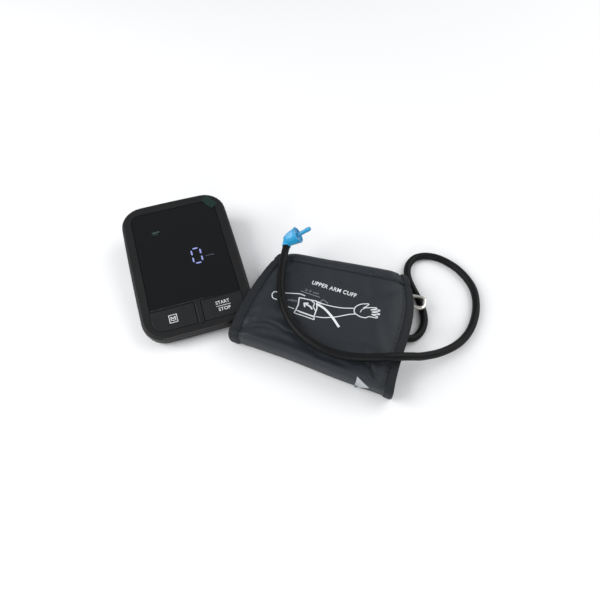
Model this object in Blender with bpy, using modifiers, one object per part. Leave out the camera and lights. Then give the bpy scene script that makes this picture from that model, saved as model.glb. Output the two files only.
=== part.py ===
"""Upper arm blood pressure monitor.

A wedge-shaped desktop console with a window, two push buttons and an air pump
inside, beside a folded arm cuff.  A rubber hose runs from the cuff's bladder
round to a blue elbow plug, which is not plugged into the console's air socket.

Metres, +Z up.  Places are first given from the middle of the console's front
edge, on the table; the whole model is then moved so that the box round the
console and the cuff stands centred on the origin.
"""
import math

import bmesh
import bpy
from mathutils import Matrix, Vector

MM = 0.001
GAP = 0.3 * MM                      # air left between pieces that touch

# Console casing
CASE_WIDTH = 100.8 * MM             # at the ends of its sides, which bulge a little
CASE_LENGTH = 145.8 * MM            # along the sloping top face
SIDE_BULGE = 0.02                   # share of the half width gained at mid length
END_BULGE = 0.011
CORNER_RADIUS = 20.0 * MM
FRONT_HEIGHT = 14.0 * MM            # table to top face at the front edge
SLOPE = math.radians(8.6)           # of the top face, rising to the back
SKIRT = 6.5 * MM                    # depth of the upper case below the top face
TOP_WALL = 3.0 * MM
SIDE_WALL = 2.2 * MM
TOP_ROUNDING = 2.6 * MM
FOOT_HEIGHT = 1.5 * MM
FLOOR_TOP = 3.5 * MM
LOWER_INSET = 0.8 * MM              # the lower case stands back from the upper one
LOWER_ROUNDING = 4.0 * MM
HEADROOM = 60.0 * MM                # how far a trimming block reaches past its cut

# Rubber feet stuck under the lower case
FOOT_PLACES = (
    (-38.0 * MM, 14.0 * MM), (38.0 * MM, 14.0 * MM), (-41.2 * MM, 128.0 * MM),
    (41.2 * MM, 128.0 * MM),
)
FOOT_PROFILE = ((0, 1.2), (3.6, 1.2), (4.0, 0.9), (3.7, 0), (0, 0))     # radius, height; mm

# Window and what lies under it, in the top face's own frame
WINDOW_WIDTH = 83.0 * MM
WINDOW_FRONT = 29.4 * MM
WINDOW_BACK = 136.6 * MM
WINDOW_RADIUS = 9.0 * MM
WINDOW_LEDGE = 3.0 * MM
WINDOW_THICKNESS = 1.3 * MM
WINDOW_DEPTH = 0.2 * MM             # the window lies this far under the top face
REBATE_DEPTH = 1.8 * MM
TAB_HALF, TAB_CORNER = (4.2 * MM, 7.5 * MM), 2.0 * MM
TAB_PLACE, TAB_TURN = (37.2 * MM, 134.0 * MM, GAP), math.radians(33.0)
MODULE_THICKNESS = 4.0 * MM
BOARD_TOP = -7.0 * MM
BOARD_THICKNESS = 1.6 * MM
BOARD_FRONT, BOARD_BACK = 8.5 * MM, 96.0 * MM
BOARD_WIDTH = 80.0 * MM

# Push buttons, on each side of a raised divider
BUTTON_FRONT, BUTTON_BACK = 7.0 * MM, 28.2 * MM
BUTTON_OUTER = 41.6 * MM            # outer edge of each button, from the middle
DIVIDER_X = 1.0 * MM
DIVIDER_WIDTH = 5.0 * MM
DIVIDER_RISE = 1.0 * MM
BUTTON_RADIUS = 11.0 * MM           # its outer front corner
BUTTON_CLEARANCE = 0.4 * MM
BUTTON_DEPTH = 3.5 * MM
BUTTON_LIP = 1.2 * MM
LIP_THICKNESS = 0.9 * MM
SWITCH_SIZE = 6.0 * MM
SWITCH_PLACES = (-22.0 * MM, 23.0 * MM)
SWITCH_Y = 17.5 * MM

# Screw posts that join the two halves of the casing
POST_X = 44.3 * MM
POST_YS = (34.0 * MM, 118.0 * MM)
POST_RADIUS = 3.0 * MM
SCREW_HOLE = 1.4 * MM
SCREW_SHANK = 1.1 * MM
SCREW_HEAD = 2.1 * MM
COUNTERBORE = 2.4 * MM
SCREW_HEAD_THICKNESS = 1.4 * MM
SCREW_BITE = 2.2 * MM               # how far the shank goes into the upper post

# Battery bay, with four AAA cells lying side by side across the console
CELL_RADIUS = 5.25 * MM
CELL_LENGTH = 44.5 * MM
CELL_NUB = 0.9 * MM
CELL_PITCH = 10.9 * MM
BAY_LEFT, BAY_RIGHT = -13.3 * MM, 37.3 * MM
BAY_FRONT, BAY_BACK = 91.2 * MM, 135.4 * MM
BAY_TOP = 14.8 * MM
BAY_WALL = 1.2 * MM
SPRING_LENGTH = 4.5 * MM
GRIP_SIZE = (16.0 * MM, 0.9 * MM, 0.8 * MM)     # of each groove in the battery door
GRIP_X, GRIP_YS = 12.0 * MM, (98.0 * MM, 100.5 * MM, 103.0 * MM)
CONTACT_THICKNESS = 0.5 * MM

# Air works along the console's left side
AIR_X = -33.0 * MM
AIR_Z = 9.2 * MM
SOCKET_Y = 86.0 * MM
PUMP_Z = 12.4 * MM
PUMP_FRONT = 100.5 * MM
PUMP_NOZZLE = 3.5 * MM              # how far the pump's nozzle stands in front of it
AIR_TUBE = 2.5 * MM
BLOCK_REACH = 5.5 * MM              # the air block, forwards and backwards from the socket
BLOCK_HALF = 4.0 * MM               # and to each side
BLOCK_RISE = 3.0 * MM               # and up and down
VALVE_SIZE = (12.0 * MM, 16.0 * MM, 9.0 * MM)
VALVE_Y, VALVE_Z = 66.0 * MM, 8.3 * MM
SOCKET_PROFILE = (                  # radius and distance outwards along the axis, millimetres
    (0.0, -11.0), (2.3, -11.0), (2.3, 0.0), (3.2, 0.0), (3.6, -0.4), (3.6, -3.6),
    (4.9, -3.6), (4.9, -5.4), (3.2, -5.4), (3.2, -12.4), (0.0, -12.4),
)
PUMP_PROFILE = (
    (0.0, 3.5), (1.6, 3.5), (1.6, 0.0), (7.6, 0.0), (8.5, -0.9), (8.5, -12.2),
    (7.8, -13.0), (0.0, -13.0),
)
MOTOR_START = PUMP_FRONT + 13.0 * MM + GAP
MOTOR_PROFILE = (
    (0.0, 0.0), (7.4, 0.0), (8.0, -0.6), (8.0, -22.0), (7.4, -22.6), (2.2, -22.6),
    (2.2, -23.8), (0.0, -23.8),
)

# Power socket in the back wall
JACK_X, JACK_Z = -19.8 * MM, 9.5 * MM

# Folded cuff: the corners of its plan, from the console's front edge middle
CUFF_CORNERS = (
    (19.6 * MM, -16.0 * MM),        # front left
    (132.6 * MM, -109.5 * MM),      # front right
    (193.8 * MM, -5.0 * MM),        # back right
    (89.8 * MM, 58.0 * MM),         # back left
)
LEFT_BULGE, RIGHT_BULGE = 5.0 * MM, 9.0 * MM    # the curve of its two bound edges
RIGHT_SKEW = 1.6                    # sets the right edge's bulge nearer the back
CUFF_EDGE_STEPS = 10                # straight runs that make up each of those curves
CUFF_HEIGHT = 26.0 * MM
CUFF_PANEL = 5.0 * MM
CUFF_ROUNDING = 5.5 * MM
CUFF_CORNER_RADIUS = 9.0 * MM
LEFT_HEM, RIGHT_HEM = 0.075, 0.05   # bound edges, as shares of the cuff's width
HEM_GAP = 0.004                     # between an edge and the cover, as the same share
HEM_LOW, HEM_HIGH = 17.8 * MM, 21.2 * MM
HEM_CORNER, HEM_ROUNDING = 1.5 * MM, 1.2 * MM
LINED = (0.055, 0.945)              # the hollow's reach along the folded cuff

# Layers folded inside it: shares across and along the cuff, then heights
TAIL_PLACE = ((0.10, 0.81), (0.075, 0.925), CUFF_PANEL + GAP, CUFF_PANEL + 2.2 * MM)
HOOK_PLACE = ((0.12, 0.80), (0.10, 0.50), CUFF_PANEL + 2.5 * MM, CUFF_PANEL + 3.5 * MM)
BLADDER_PLACE = ((0.10, 0.82), (0.08, 0.60), 10.0 * MM, CUFF_HEIGHT - CUFF_PANEL - GAP)
TAIL_CORNER, HOOK_CORNER, BLADDER_CORNER = 4.0 * MM, 2.5 * MM, 4.0 * MM
BLADDER_ROUNDING = 2.0 * MM

# Wire ring held in a sleeve under the cuff's upper panel
RING_PLACE = (143.8 * MM, 6.2 * MM, 11.0 * MM)
RING_TURN = math.radians(-31.0)
RING_LENGTH = 137.0 * MM
RING_SPAN = 12.2 * MM
RING_WIRE = 1.6 * MM
RING_CORNER = 4.5 * MM
SLEEVE_ENDS = (-58.0 * MM, 33.0 * MM)   # along the leg, from the ring's middle
SLEEVE_WIDTH = 7.0 * MM
SLEEVE_BOTTOM, SLEEVE_TOP = 8.0 * MM, 20.6 * MM

# Air hose and its plug
HOSE_RADIUS = 3.5 * MM
HOSE_STEP = 4 * HOSE_RADIUS          # between the points that its tube is drawn through
PORT_START = (146.0 * MM, -55.3 * MM, 10.6 * MM)
PORT_END = (160.5 * MM, -58.6 * MM, 9.2 * MM)
PORT_RADII = (4.5 * MM, 4.4 * MM, 3.9 * MM)     # at its root, half way and at its tip
PORT_ROOT = 1.6 * MM                # length of its straight root
HOSE_ROUTE = (                      # millimetres; from the cuff's port to the plug
    (161.5, -58.85, 9.1), (165.3, -59.7, 8.7), (169.8, -60.9, 6.6), (175.0, -61.8, 4.6),
    (181.2, -60.2, 3.7), (188.0, -55.6, 3.7), (193.6, -48.6, 3.7), (196.7, -41.2, 3.7),
    (198.6, -33.0, 3.7), (199.7, -23.5, 3.7), (200.0, -12.2, 3.7), (200.9, -1.0, 3.7),
    (203.8, 9.3, 3.7), (210.2, 18.0, 3.7), (220.2, 22.9, 3.7), (232.4, 20.8, 3.7),
    (243.8, 11.6, 3.7), (253.0, -5.8, 3.7), (254.9, -28.8, 3.7), (246.1, -50.4, 3.7),
    (230.6, -68.4, 4.2), (212.0, -79.6, 6.5), (190.8, -85.4, 11.5), (170.5, -86.8, 18.0),
    (159.7, -86.4, 23.2), (149.2, -85.6, 27.6), (138.3, -83.9, 30.2), (127.0, -81.0, 30.4),
    (107.8, -73.4, 30.2), (91.4, -61.2, 30.2), (79.6, -45.6, 30.2), (73.4, -28.6, 30.2),
    (72.0, -12.0, 30.2), (73.6, 2.0, 30.2), (77.4, 16.6, 30.2), (85.0, 36.4, 30.3),
    (94.1, 54.0, 31.0),
)
PLUG_TURN = math.radians(-10.6)      # the way it points, from the +X axis
PLUG_RISE = math.radians(32.4)       # and how steeply upwards
PLUG_BACK = (95.2 * MM, 60.3 * MM, 31.4 * MM)
PLUG_COLLAR, COLLAR_LENGTH = 3.9 * MM, 7.0 * MM
PLUG_PROFILE = (                    # radius and distance along the plug's axis, millimetres
    (0.0, 28.4), (1.1, 28.4), (1.8, 27.0), (1.9, 24.4), (2.1, 24.0), (2.1, 23.4), (1.8, 22.8),
    (1.9, 13.6), (6.0, 13.6), (6.6, 15.0), (7.7, 15.0), (8.0, 14.4), (7.9, 13.4), (7.5, 12.6),
    (7.2, 10.6), (6.8, 8.0), (6.3, 5.4), (5.6, 3.0), (4.8, 1.2), (2.4, 0.0), (0.0, 0.0),
)


def reset_scene():
    """Empty the scene and make the two collections."""
    for item in list(bpy.data.objects):
        bpy.data.objects.remove(item, do_unlink=True)
    collections = []
    for title in ("blood_pressure_monitor", "cutters"):
        collection = bpy.data.collections.new(title)
        bpy.context.scene.collection.children.link(collection)
        collections.append(collection)
    return collections


PARTS, CUTTERS = reset_scene()
FINISHES = {}


def finish(name, colour, roughness, metallic=0.0):
    """A Principled BSDF material, made once for each name."""
    material = bpy.data.materials.new(name)
    material.use_nodes = True
    shader = material.node_tree.nodes["Principled BSDF"]
    shader.inputs["Base Color"].default_value = (*colour, 1.0)
    shader.inputs["Roughness"].default_value = roughness
    shader.inputs["Metallic"].default_value = metallic
    material.diffuse_color = (*colour, 1.0)
    FINISHES[name] = material


def make_finishes():
    finish("case_grey", (0.035, 0.036, 0.038), 0.5)
    finish("button_grey", (0.045, 0.046, 0.048), 0.55)
    finish("window_black", (0.008, 0.008, 0.010), 0.06)
    finish("module_black", (0.02, 0.02, 0.022), 0.5)
    finish("board_green", (0.02, 0.16, 0.06), 0.45)
    finish("steel", (0.62, 0.62, 0.60), 0.3, 1.0)
    finish("nickel", (0.75, 0.74, 0.70), 0.18, 1.0)
    finish("brass", (0.70, 0.52, 0.20), 0.3, 1.0)
    finish("white_plastic", (0.75, 0.75, 0.72), 0.4)
    finish("clear_silicone", (0.70, 0.72, 0.70), 0.35)
    finish("rubber_black", (0.015, 0.015, 0.016), 0.6)
    finish("cell_wrap", (0.05, 0.12, 0.30), 0.3)
    finish("cuff_nylon", (0.035, 0.042, 0.050), 0.7)
    finish("binding_tape", (0.030, 0.036, 0.043), 0.75)
    finish("bladder_film", (0.10, 0.10, 0.11), 0.5)
    finish("hook_tape", (0.02, 0.02, 0.02), 0.9)
    finish("plug_blue", (0.02, 0.30, 0.62), 0.35)
    finish("film_green", (0.02, 0.16, 0.10), 0.2)


def frame(name, parent=None, location=(0, 0, 0), rotation=(0, 0, 0)):
    """An empty that other objects are placed in."""
    empty = bpy.data.objects.new(name, None)
    bpy.context.scene.collection.objects.link(empty)
    empty.parent = parent
    empty.location = location
    empty.rotation_euler = rotation
    return empty


def add(name, data, finish_name, parent, location=(0, 0, 0), rotation=(0, 0, 0)):
    """Put a mesh or curve in the scene as a part, or as a cutter if it has no finish."""
    item = bpy.data.objects.new(name, data)
    item.parent = parent
    item.location = location
    item.rotation_euler = rotation
    if finish_name:
        data.materials.append(FINISHES[finish_name])
        PARTS.objects.link(item)
    else:
        item.hide_render = True
        item.display_type = "WIRE"
        CUTTERS.objects.link(item)
    return item


def to_mesh(name, bm, smooth=False):
    bmesh.ops.recalc_face_normals(bm, faces=bm.faces)
    mesh = bpy.data.meshes.new(name)
    bm.to_mesh(mesh)
    bm.free()
    if smooth:
        mesh.shade_smooth()
        mesh.set_sharp_from_angle(angle=math.radians(40))
    return mesh


def prism(name, outline, low, high, finish_name, parent, **place):
    """An upright solid on a flat outline."""
    bm = bmesh.new()
    ring = [bm.verts.new((x, y, low)) for x, y in outline]
    base = bm.faces.new(ring)
    risen = bmesh.ops.extrude_face_region(bm, geom=[base])["geom"]
    top = [item for item in risen if isinstance(item, bmesh.types.BMVert)]
    bmesh.ops.translate(bm, verts=top, vec=(0, 0, high - low))
    return add(name, to_mesh(name, bm, smooth=True), finish_name, parent, **place)


def block(name, size, centre, finish_name, parent, rotation=(0, 0, 0)):
    bm = bmesh.new()
    bmesh.ops.create_cube(bm, size=1.0, matrix=Matrix.Diagonal((*size, 1.0)))
    return add(name, to_mesh(name, bm), finish_name, parent, centre, rotation)


def block_between(name, low, high, finish_name, parent):
    """A block given by its lowest and highest corners."""
    size = [b - a for a, b in zip(low, high)]
    centre = [(a + b) / 2 for a, b in zip(low, high)]
    return block(name, size, centre, finish_name, parent)


def cylinders(name, radius, low, high, places, finish_name, parent, sides=20):
    """One object with an upright cylinder at each place."""
    bm = bmesh.new()
    for x, y in places:
        middle = Matrix.Translation((x, y, (low + high) / 2))
        bmesh.ops.create_cone(bm, cap_ends=True, segments=sides, radius1=radius,
                              radius2=radius, depth=high - low, matrix=middle)
    return add(name, to_mesh(name, bm, smooth=True), finish_name, parent)


def turned(name, profile, finish_name, parent, steps=24, **place):
    """A lathe part; the profile of (radius, height) runs from its top to its bottom."""
    bm = bmesh.new()
    points = [bm.verts.new((radius, 0, height)) for radius, height in profile]
    for upper, lower in zip(points, points[1:]):
        bm.edges.new((upper, lower))
    mesh = bpy.data.meshes.new(name)
    bm.to_mesh(mesh)
    bm.free()
    item = add(name, mesh, finish_name, parent, **place)
    screw = item.modifiers.new("Turn", "SCREW")
    screw.steps = steps
    screw.render_steps = steps
    screw.use_smooth_shade = True
    screw.use_merge_vertices = True
    screw.merge_threshold = 0.01 * MM
    return item


def tube(name, points, radius, finish_name, parent, detail=2, cyclic=False, **place):
    """A round bar along a line of points."""
    curve = bpy.data.curves.new(name, "CURVE")
    curve.dimensions = "3D"
    curve.bevel_depth = radius
    curve.bevel_resolution = detail
    curve.use_fill_caps = not cyclic
    line = curve.splines.new("POLY")
    line.points.add(len(points) - 1)
    for target, point in zip(line.points, points):
        target.co = (*point, 1.0)
    line.use_cyclic_u = cyclic
    return add(name, curve, finish_name, parent, **place)


def soften(item, width, segments=2, angle=50):
    bevel = item.modifiers.new("Bevel", "BEVEL")
    bevel.width = width
    bevel.segments = segments
    bevel.limit_method = "ANGLE"
    bevel.angle_limit = math.radians(angle)
    return item


def combine(item, other, operation="DIFFERENCE"):
    boolean = item.modifiers.new(other.name, "BOOLEAN")
    boolean.operation = operation
    boolean.object = other
    return item


def rounded(corners, radii, steps=6):
    """A convex outline, anticlockwise, with each corner turned on its radius, if it has one."""
    if not isinstance(radii, (tuple, list)):
        radii = [radii] * len(corners)
    outline = []
    count = len(corners)
    for index, radius in enumerate(radii):
        corner = Vector(corners[index])
        if not radius:
            outline.append(tuple(corner))
            continue
        before = (Vector(corners[index - 1]) - corner).normalized()
        after = (Vector(corners[(index + 1) % count]) - corner).normalized()
        half = before.angle(after) / 2
        middle = corner + (before + after).normalized() * (radius / math.sin(half))
        start = corner + before * (radius / math.tan(half)) - middle
        sweep = math.pi - 2 * half
        for step in range(steps + 1):
            turn = Matrix.Rotation(sweep * step / steps, 2)
            outline.append(tuple(middle + turn @ start))
    return outline


def rectangle(left, right, front, back):
    return ((left, front), (right, front), (right, back), (left, back))


def case_outline(inset=0.0):
    """The casing's plan on its top face: a rounded rectangle with slightly bulging sides."""
    half_width = CASE_WIDTH / 2 - inset
    half_length = CASE_LENGTH / 2 - inset
    radius = CORNER_RADIUS - inset
    plain = rounded(rectangle(-half_width, half_width, -half_length, half_length), radius, 7)
    outline = []
    for index, start in enumerate(plain):
        end = plain[(index + 1) % len(plain)]
        run = math.dist(start, end)
        pieces = 5 if run > CORNER_RADIUS else 1
        for piece in range(pieces):
            share = piece / pieces
            x = start[0] + (end[0] - start[0]) * share
            y = start[1] + (end[1] - start[1]) * share
            wide = 1 + SIDE_BULGE * (1 - (y / half_length) ** 2)
            long = 1 + END_BULGE * (1 - (x / half_width) ** 2)
            outline.append((x * wide, y * long + CASE_LENGTH / 2))
    return outline


def lower_outline(inset=0.0):
    """The same plan seen from above, where the sloping walls of the upper case end."""
    shift = SKIRT * math.sin(SLOPE)
    return [(x, y * math.cos(SLOPE) + shift) for x, y in case_outline(LOWER_INSET + inset)]


def top_height(y):
    """Height of the sloping top face over a place on the table."""
    return FRONT_HEIGHT + y * math.tan(SLOPE)


def button_outline(side, grow=0.0):
    """Plan of a push button; side is -1 for the left one and 1 for the right one."""
    inner = DIVIDER_X + side * (DIVIDER_WIDTH / 2 + 2 * BUTTON_CLEARANCE - grow)
    outer = side * (BUTTON_OUTER + grow)
    left, right = min(inner, outer), max(inner, outer)
    corners = rectangle(left, right, BUTTON_FRONT - grow, BUTTON_BACK + grow)
    small = 0.8 * MM + grow
    radii = [small] * 4
    radii[0 if side < 0 else 1] = BUTTON_RADIUS + grow
    return rounded(corners, radii, 6)


def window_outline(shrink=0.0):
    half = WINDOW_WIDTH / 2 - shrink
    corners = rectangle(-half, half, WINDOW_FRONT + shrink, WINDOW_BACK - shrink)
    sharp = 0.6 * MM
    round_end = WINDOW_RADIUS - shrink
    return rounded(corners, [sharp, sharp, round_end, round_end], 6)


def in_metres(profile):
    return [(radius * MM, along * MM) for radius, along in profile]


def post_places():
    return [(x, y) for x in (-POST_X, POST_X) for y in POST_YS]


def smooth_route(points, step):
    """Points at even steps along a smooth curve through the given ones."""
    ends = [points[0] * 2 - points[1]] + points + [points[-1] * 2 - points[-2]]
    dense = []
    for a, b, c, d in zip(ends, ends[1:], ends[2:], ends[3:]):
        for part in range(12):
            t = part / 12
            dense.append(0.5 * ((2 * b) + (c - a) * t + (2 * a - 5 * b + 4 * c - d) * t * t
                                + (3 * b - a - 3 * c + d) * t ** 3))
    dense.append(points[-1])
    lengths = [0.0]
    for start, end in zip(dense, dense[1:]):
        lengths.append(lengths[-1] + (end - start).length)
    count = round(lengths[-1] / step)
    route = []
    index = 0
    for number in range(count + 1):
        goal = lengths[-1] * number / count
        while index < len(dense) - 2 and lengths[index + 1] < goal:
            index += 1
        share = (goal - lengths[index]) / (lengths[index + 1] - lengths[index])
        route.append(dense[index].lerp(dense[index + 1], share))
    return route


# ---------------------------------------------------------------- console casing

def make_upper_case(base, deck):
    case = prism("upper_case", case_outline(), -SKIRT - HEADROOM / 6, 0.0, "case_grey", deck)
    soften(case, TOP_ROUNDING, 3)
    combine(case, prism("upper_hollow", case_outline(SIDE_WALL), -HEADROOM, -TOP_WALL, None, deck))
    shift = SKIRT * math.sin(SLOPE)
    met = [(x, (y - shift) / math.cos(SLOPE)) for x, y in post_places()]
    posts = cylinders("upper_posts", POST_RADIUS, -HEADROOM / 2, -TOP_WALL / 2, met, None, deck)
    combine(case, posts, "UNION")
    below = block_between("below_parting", (-HEADROOM * 2, -HEADROOM, -HEADROOM * 2),
                          (HEADROOM * 2, HEADROOM * 4, -SKIRT), None, deck)
    combine(case, below)
    for y in POST_YS:
        depth = top_height(y) - TOP_WALL - 0.6 * MM
        combine(case, cylinders("pilot_holes", SCREW_HOLE, -HEADROOM, depth,
                                [(-POST_X, y), (POST_X, y)], None, base, 12))
    combine(case, prism("window_rebate", window_outline(), -REBATE_DEPTH, HEADROOM, None, deck))
    combine(case, prism("window_opening", window_outline(WINDOW_LEDGE), -HEADROOM, HEADROOM,
                        None, deck))
    for side, title in ((-1, "memory_opening"), (1, "start_opening")):
        combine(case, prism(title, button_outline(side, BUTTON_CLEARANCE), -HEADROOM, HEADROOM,
                            None, deck))
    half = DIVIDER_WIDTH / 2 - 0.2 * MM
    ridge = rounded(rectangle(DIVIDER_X - half, DIVIDER_X + half, BUTTON_FRONT - 1.2 * MM,
                              BUTTON_BACK - 0.2 * MM), half * 0.98, 6)
    rib = soften(prism("divider_ridge", ridge, -TOP_WALL / 2, DIVIDER_RISE, None, deck), 0.6 * MM)
    combine(case, rib, "UNION")


def lower_block(name, finish_name, base):
    """The lower case's outer form, rounded round its bottom edge."""
    form = prism(name, lower_outline(), FOOT_HEIGHT, HEADROOM, finish_name, base)
    return soften(form, LOWER_ROUNDING, 3)


def make_lower_case(base, deck):
    case = lower_block("lower_case", "case_grey", base)
    combine(case, prism("tray_hollow", lower_outline(SIDE_WALL), FLOOR_TOP, HEADROOM * 2, None,
                        base))
    posts = cylinders("lower_posts", POST_RADIUS, FLOOR_TOP - MM, HEADROOM * 0.9, post_places(),
                      None, base)
    combine(case, posts, "UNION")
    shell = block_between("bay_shell", (BAY_LEFT - BAY_WALL, BAY_FRONT - BAY_WALL, FLOOR_TOP - MM),
                          (BAY_RIGHT + BAY_WALL, BAY_BACK + BAY_WALL, BAY_TOP + BAY_WALL),
                          None, base)
    combine(case, shell, "UNION")
    above = block_between("above_parting", (-HEADROOM * 2, -HEADROOM, -SKIRT - GAP),
                          (HEADROOM * 2, HEADROOM * 4, HEADROOM * 2), None, deck)
    combine(case, above)
    combine(case, block_between("bay_hollow", (BAY_LEFT, BAY_FRONT, -MM),
                                (BAY_RIGHT, BAY_BACK, BAY_TOP), None, base))
    combine(case, block_between("door_slot", (BAY_LEFT, BAY_FRONT + 0.01 * MM, -MM),
                                (BAY_RIGHT, HEADROOM * 4, FLOOR_TOP + GAP), None, base))
    places = post_places()
    combine(case, cylinders("screw_holes", SCREW_HOLE, -HEADROOM, HEADROOM, places, None, base, 12))
    combine(case, cylinders("screw_counterbores", COUNTERBORE, -HEADROOM,
                            FOOT_HEIGHT + SCREW_HEAD_THICKNESS + GAP, places, None, base, 16))
    port = turned("socket_hole", ((0, 20 * MM), (4.0 * MM, 20 * MM), (4.0 * MM, 0), (0, 0)), None,
                  base, 20, location=(-CASE_WIDTH / 2 - 6 * MM, SOCKET_Y, AIR_Z),
                  rotation=(0, math.pi / 2, 0))
    combine(case, port)
    jack = rounded(rectangle(-4.9 * MM, 4.9 * MM, -2.0 * MM, 2.0 * MM), 1.9 * MM, 4)
    combine(case, prism("jack_hole", jack, 0.0, 20 * MM, None, base,
                        location=(JACK_X, 133.0 * MM, JACK_Z), rotation=(-math.pi / 2, 0, 0)))


def make_battery_door(base):
    door = lower_block("battery_door", "case_grey", base)
    reach = block_between("door_reach", (BAY_LEFT + GAP, BAY_FRONT + 2 * GAP, -MM),
                          (BAY_RIGHT - GAP, HEADROOM * 4, FLOOR_TOP), None, base)
    combine(door, reach, "INTERSECT")
    for y in GRIP_YS:
        combine(door, block("door_grip", GRIP_SIZE, (GRIP_X, y, FOOT_HEIGHT), None, base))


def make_feet_and_screws(base):
    for number, (x, y) in enumerate(FOOT_PLACES, 1):
        turned(f"rubber_foot_{number}", in_metres(FOOT_PROFILE), "rubber_black", base, 24,
               location=(x, y, 0))
    for number, (x, y) in enumerate(post_places(), 1):
        parting = top_height(y) - SKIRT / math.cos(SLOPE)
        bottom = FOOT_HEIGHT + 0.2 * MM
        neck = bottom + SCREW_HEAD_THICKNESS
        tip = parting + SCREW_BITE
        slot = 0.7 * MM
        profile = ((0, tip), (SCREW_SHANK * 0.5, tip), (SCREW_SHANK, tip - MM),
                   (SCREW_SHANK, neck), (SCREW_HEAD, neck), (SCREW_HEAD, bottom + 0.3 * MM),
                   (SCREW_HEAD - 0.3 * MM, bottom), (slot, bottom), (slot, bottom + 0.7 * MM),
                   (0, bottom + 0.7 * MM))
        turned(f"case_screw_{number}", profile, "steel", base, 16, location=(x, y, 0))


# ---------------------------------------------------------------- face of the console

def make_face(deck):
    window_low = -WINDOW_DEPTH - WINDOW_THICKNESS
    window = prism("screen_window", window_outline(GAP), window_low, -WINDOW_DEPTH,
                   "window_black", deck)
    soften(window, 0.25 * MM, 1)
    module_top = window_low - GAP
    module = window_outline(WINDOW_LEDGE + 2 * GAP)
    prism("display_module", module, module_top - MODULE_THICKNESS, module_top, "module_black",
          deck)
    board = rounded(rectangle(-BOARD_WIDTH / 2, BOARD_WIDTH / 2, BOARD_FRONT, BOARD_BACK),
                    (6 * MM, 6 * MM, 2 * MM, 2 * MM), 4)
    prism("main_board", board, BOARD_TOP - BOARD_THICKNESS, BOARD_TOP, "board_green", deck)
    tab = rounded(rectangle(-TAB_HALF[0], TAB_HALF[0], -TAB_HALF[1], TAB_HALF[1]), TAB_CORNER, 4)
    prism("film_tab", tab, 0.0, GAP, "film_green", deck, location=TAB_PLACE,
          rotation=(0, 0, TAB_TURN))


def make_buttons(deck):
    """Each button stands on its own axis frame, in the middle of its top."""
    for side, title, x in ((-1, "memory", SWITCH_PLACES[0]), (1, "start", SWITCH_PLACES[1])):
        centre = (x, SWITCH_Y)
        cap = [(a - centre[0], b - centre[1]) for a, b in button_outline(side)]
        lip = [(a - centre[0], b - centre[1])
               for a, b in button_outline(side, BUTTON_CLEARANCE + BUTTON_LIP)]
        axis = frame(f"{title}_button_axis", deck, (*centre, 0.0))
        button = prism(f"{title}_button", cap, -BUTTON_DEPTH, 0.1 * MM, "button_grey", axis)
        soften(button, 0.5 * MM, 2)
        flange = prism(f"{title}_lip", lip, -TOP_WALL - GAP - LIP_THICKNESS, -TOP_WALL - GAP,
                       None, axis)
        combine(button, flange, "UNION")
        half = SWITCH_SIZE / 2
        bottom = BOARD_TOP + GAP
        body = rounded(rectangle(-half, half, -half, half), 0.5 * MM, 2)
        switch = prism(f"{title}_switch", body, bottom, bottom + 1.2 * MM, "steel", deck,
                       location=(*centre, 0.0))
        stem = cylinders(f"{title}_stem", 1.5 * MM, bottom + 0.6 * MM, bottom + 1.6 * MM,
                         [centre], None, deck, 16)
        combine(switch, stem, "UNION")


# ---------------------------------------------------------------- works inside

def make_air_works(base, deck):
    turned("air_socket", in_metres(SOCKET_PROFILE), "white_plastic", base, 24,
           location=(-CASE_WIDTH / 2 - 0.2 * MM, SOCKET_Y, AIR_Z),
           rotation=(0, -math.pi / 2, 0))
    front, back = SOCKET_Y - BLOCK_REACH, SOCKET_Y + BLOCK_REACH
    manifold = block_between("air_manifold", (AIR_X - BLOCK_HALF, front, AIR_Z - BLOCK_RISE),
                             (AIR_X + BLOCK_HALF, back, AIR_Z + BLOCK_RISE),
                             "white_plastic", base)
    soften(manifold, 0.8 * MM, 2)
    valve = block("release_valve", VALVE_SIZE, (AIR_X, VALVE_Y, VALVE_Z), "steel", base)
    soften(valve, 0.8 * MM, 2)
    rear = back + GAP
    nozzle = PUMP_FRONT - PUMP_NOZZLE
    lift = [(AIR_X, rear, AIR_Z), (AIR_X, rear + 1.2 * MM, AIR_Z),
            (AIR_X, nozzle - 1.5 * MM, PUMP_Z), (AIR_X, nozzle - GAP, PUMP_Z)]
    tube("pump_tube", lift, AIR_TUBE * 0.8, "clear_silicone", base)
    valve_back = VALVE_Y + VALVE_SIZE[1] / 2
    ends = (front - GAP, (front - GAP + valve_back) / 2, valve_back + GAP)
    tube("valve_tube", [(AIR_X, y, AIR_Z) for y in ends], AIR_TUBE, "clear_silicone", base)
    turned("pump_head", in_metres(PUMP_PROFILE), "white_plastic", base, 24,
           location=(AIR_X, PUMP_FRONT, PUMP_Z), rotation=(math.pi / 2, 0, 0))
    turned("pump_motor", in_metres(MOTOR_PROFILE), "steel", base, 24,
           location=(AIR_X, MOTOR_START, PUMP_Z), rotation=(math.pi / 2, 0, 0))
    under = BOARD_TOP - BOARD_THICKNESS - GAP
    sensor = block_between("pressure_sensor", (AIR_X - 4 * MM, SOCKET_Y - 4 * MM, under - 2.5 * MM),
                           (AIR_X + 4 * MM, SOCKET_Y + 4 * MM, under), "module_black", deck)
    soften(sensor, 0.4 * MM, 1)
    tube("sensor_tube", [(AIR_X, SOCKET_Y, AIR_Z + 3 * MM + GAP), (AIR_X, SOCKET_Y, 13.4 * MM),
                         (AIR_X, SOCKET_Y - 0.3 * MM, 14.6 * MM)], 1.6 * MM, "clear_silicone",
         base)
    cylinders("buzzer", 4.5 * MM, under - 3 * MM, under, [(18 * MM, 62 * MM)], "module_black",
              deck, 24)


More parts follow.
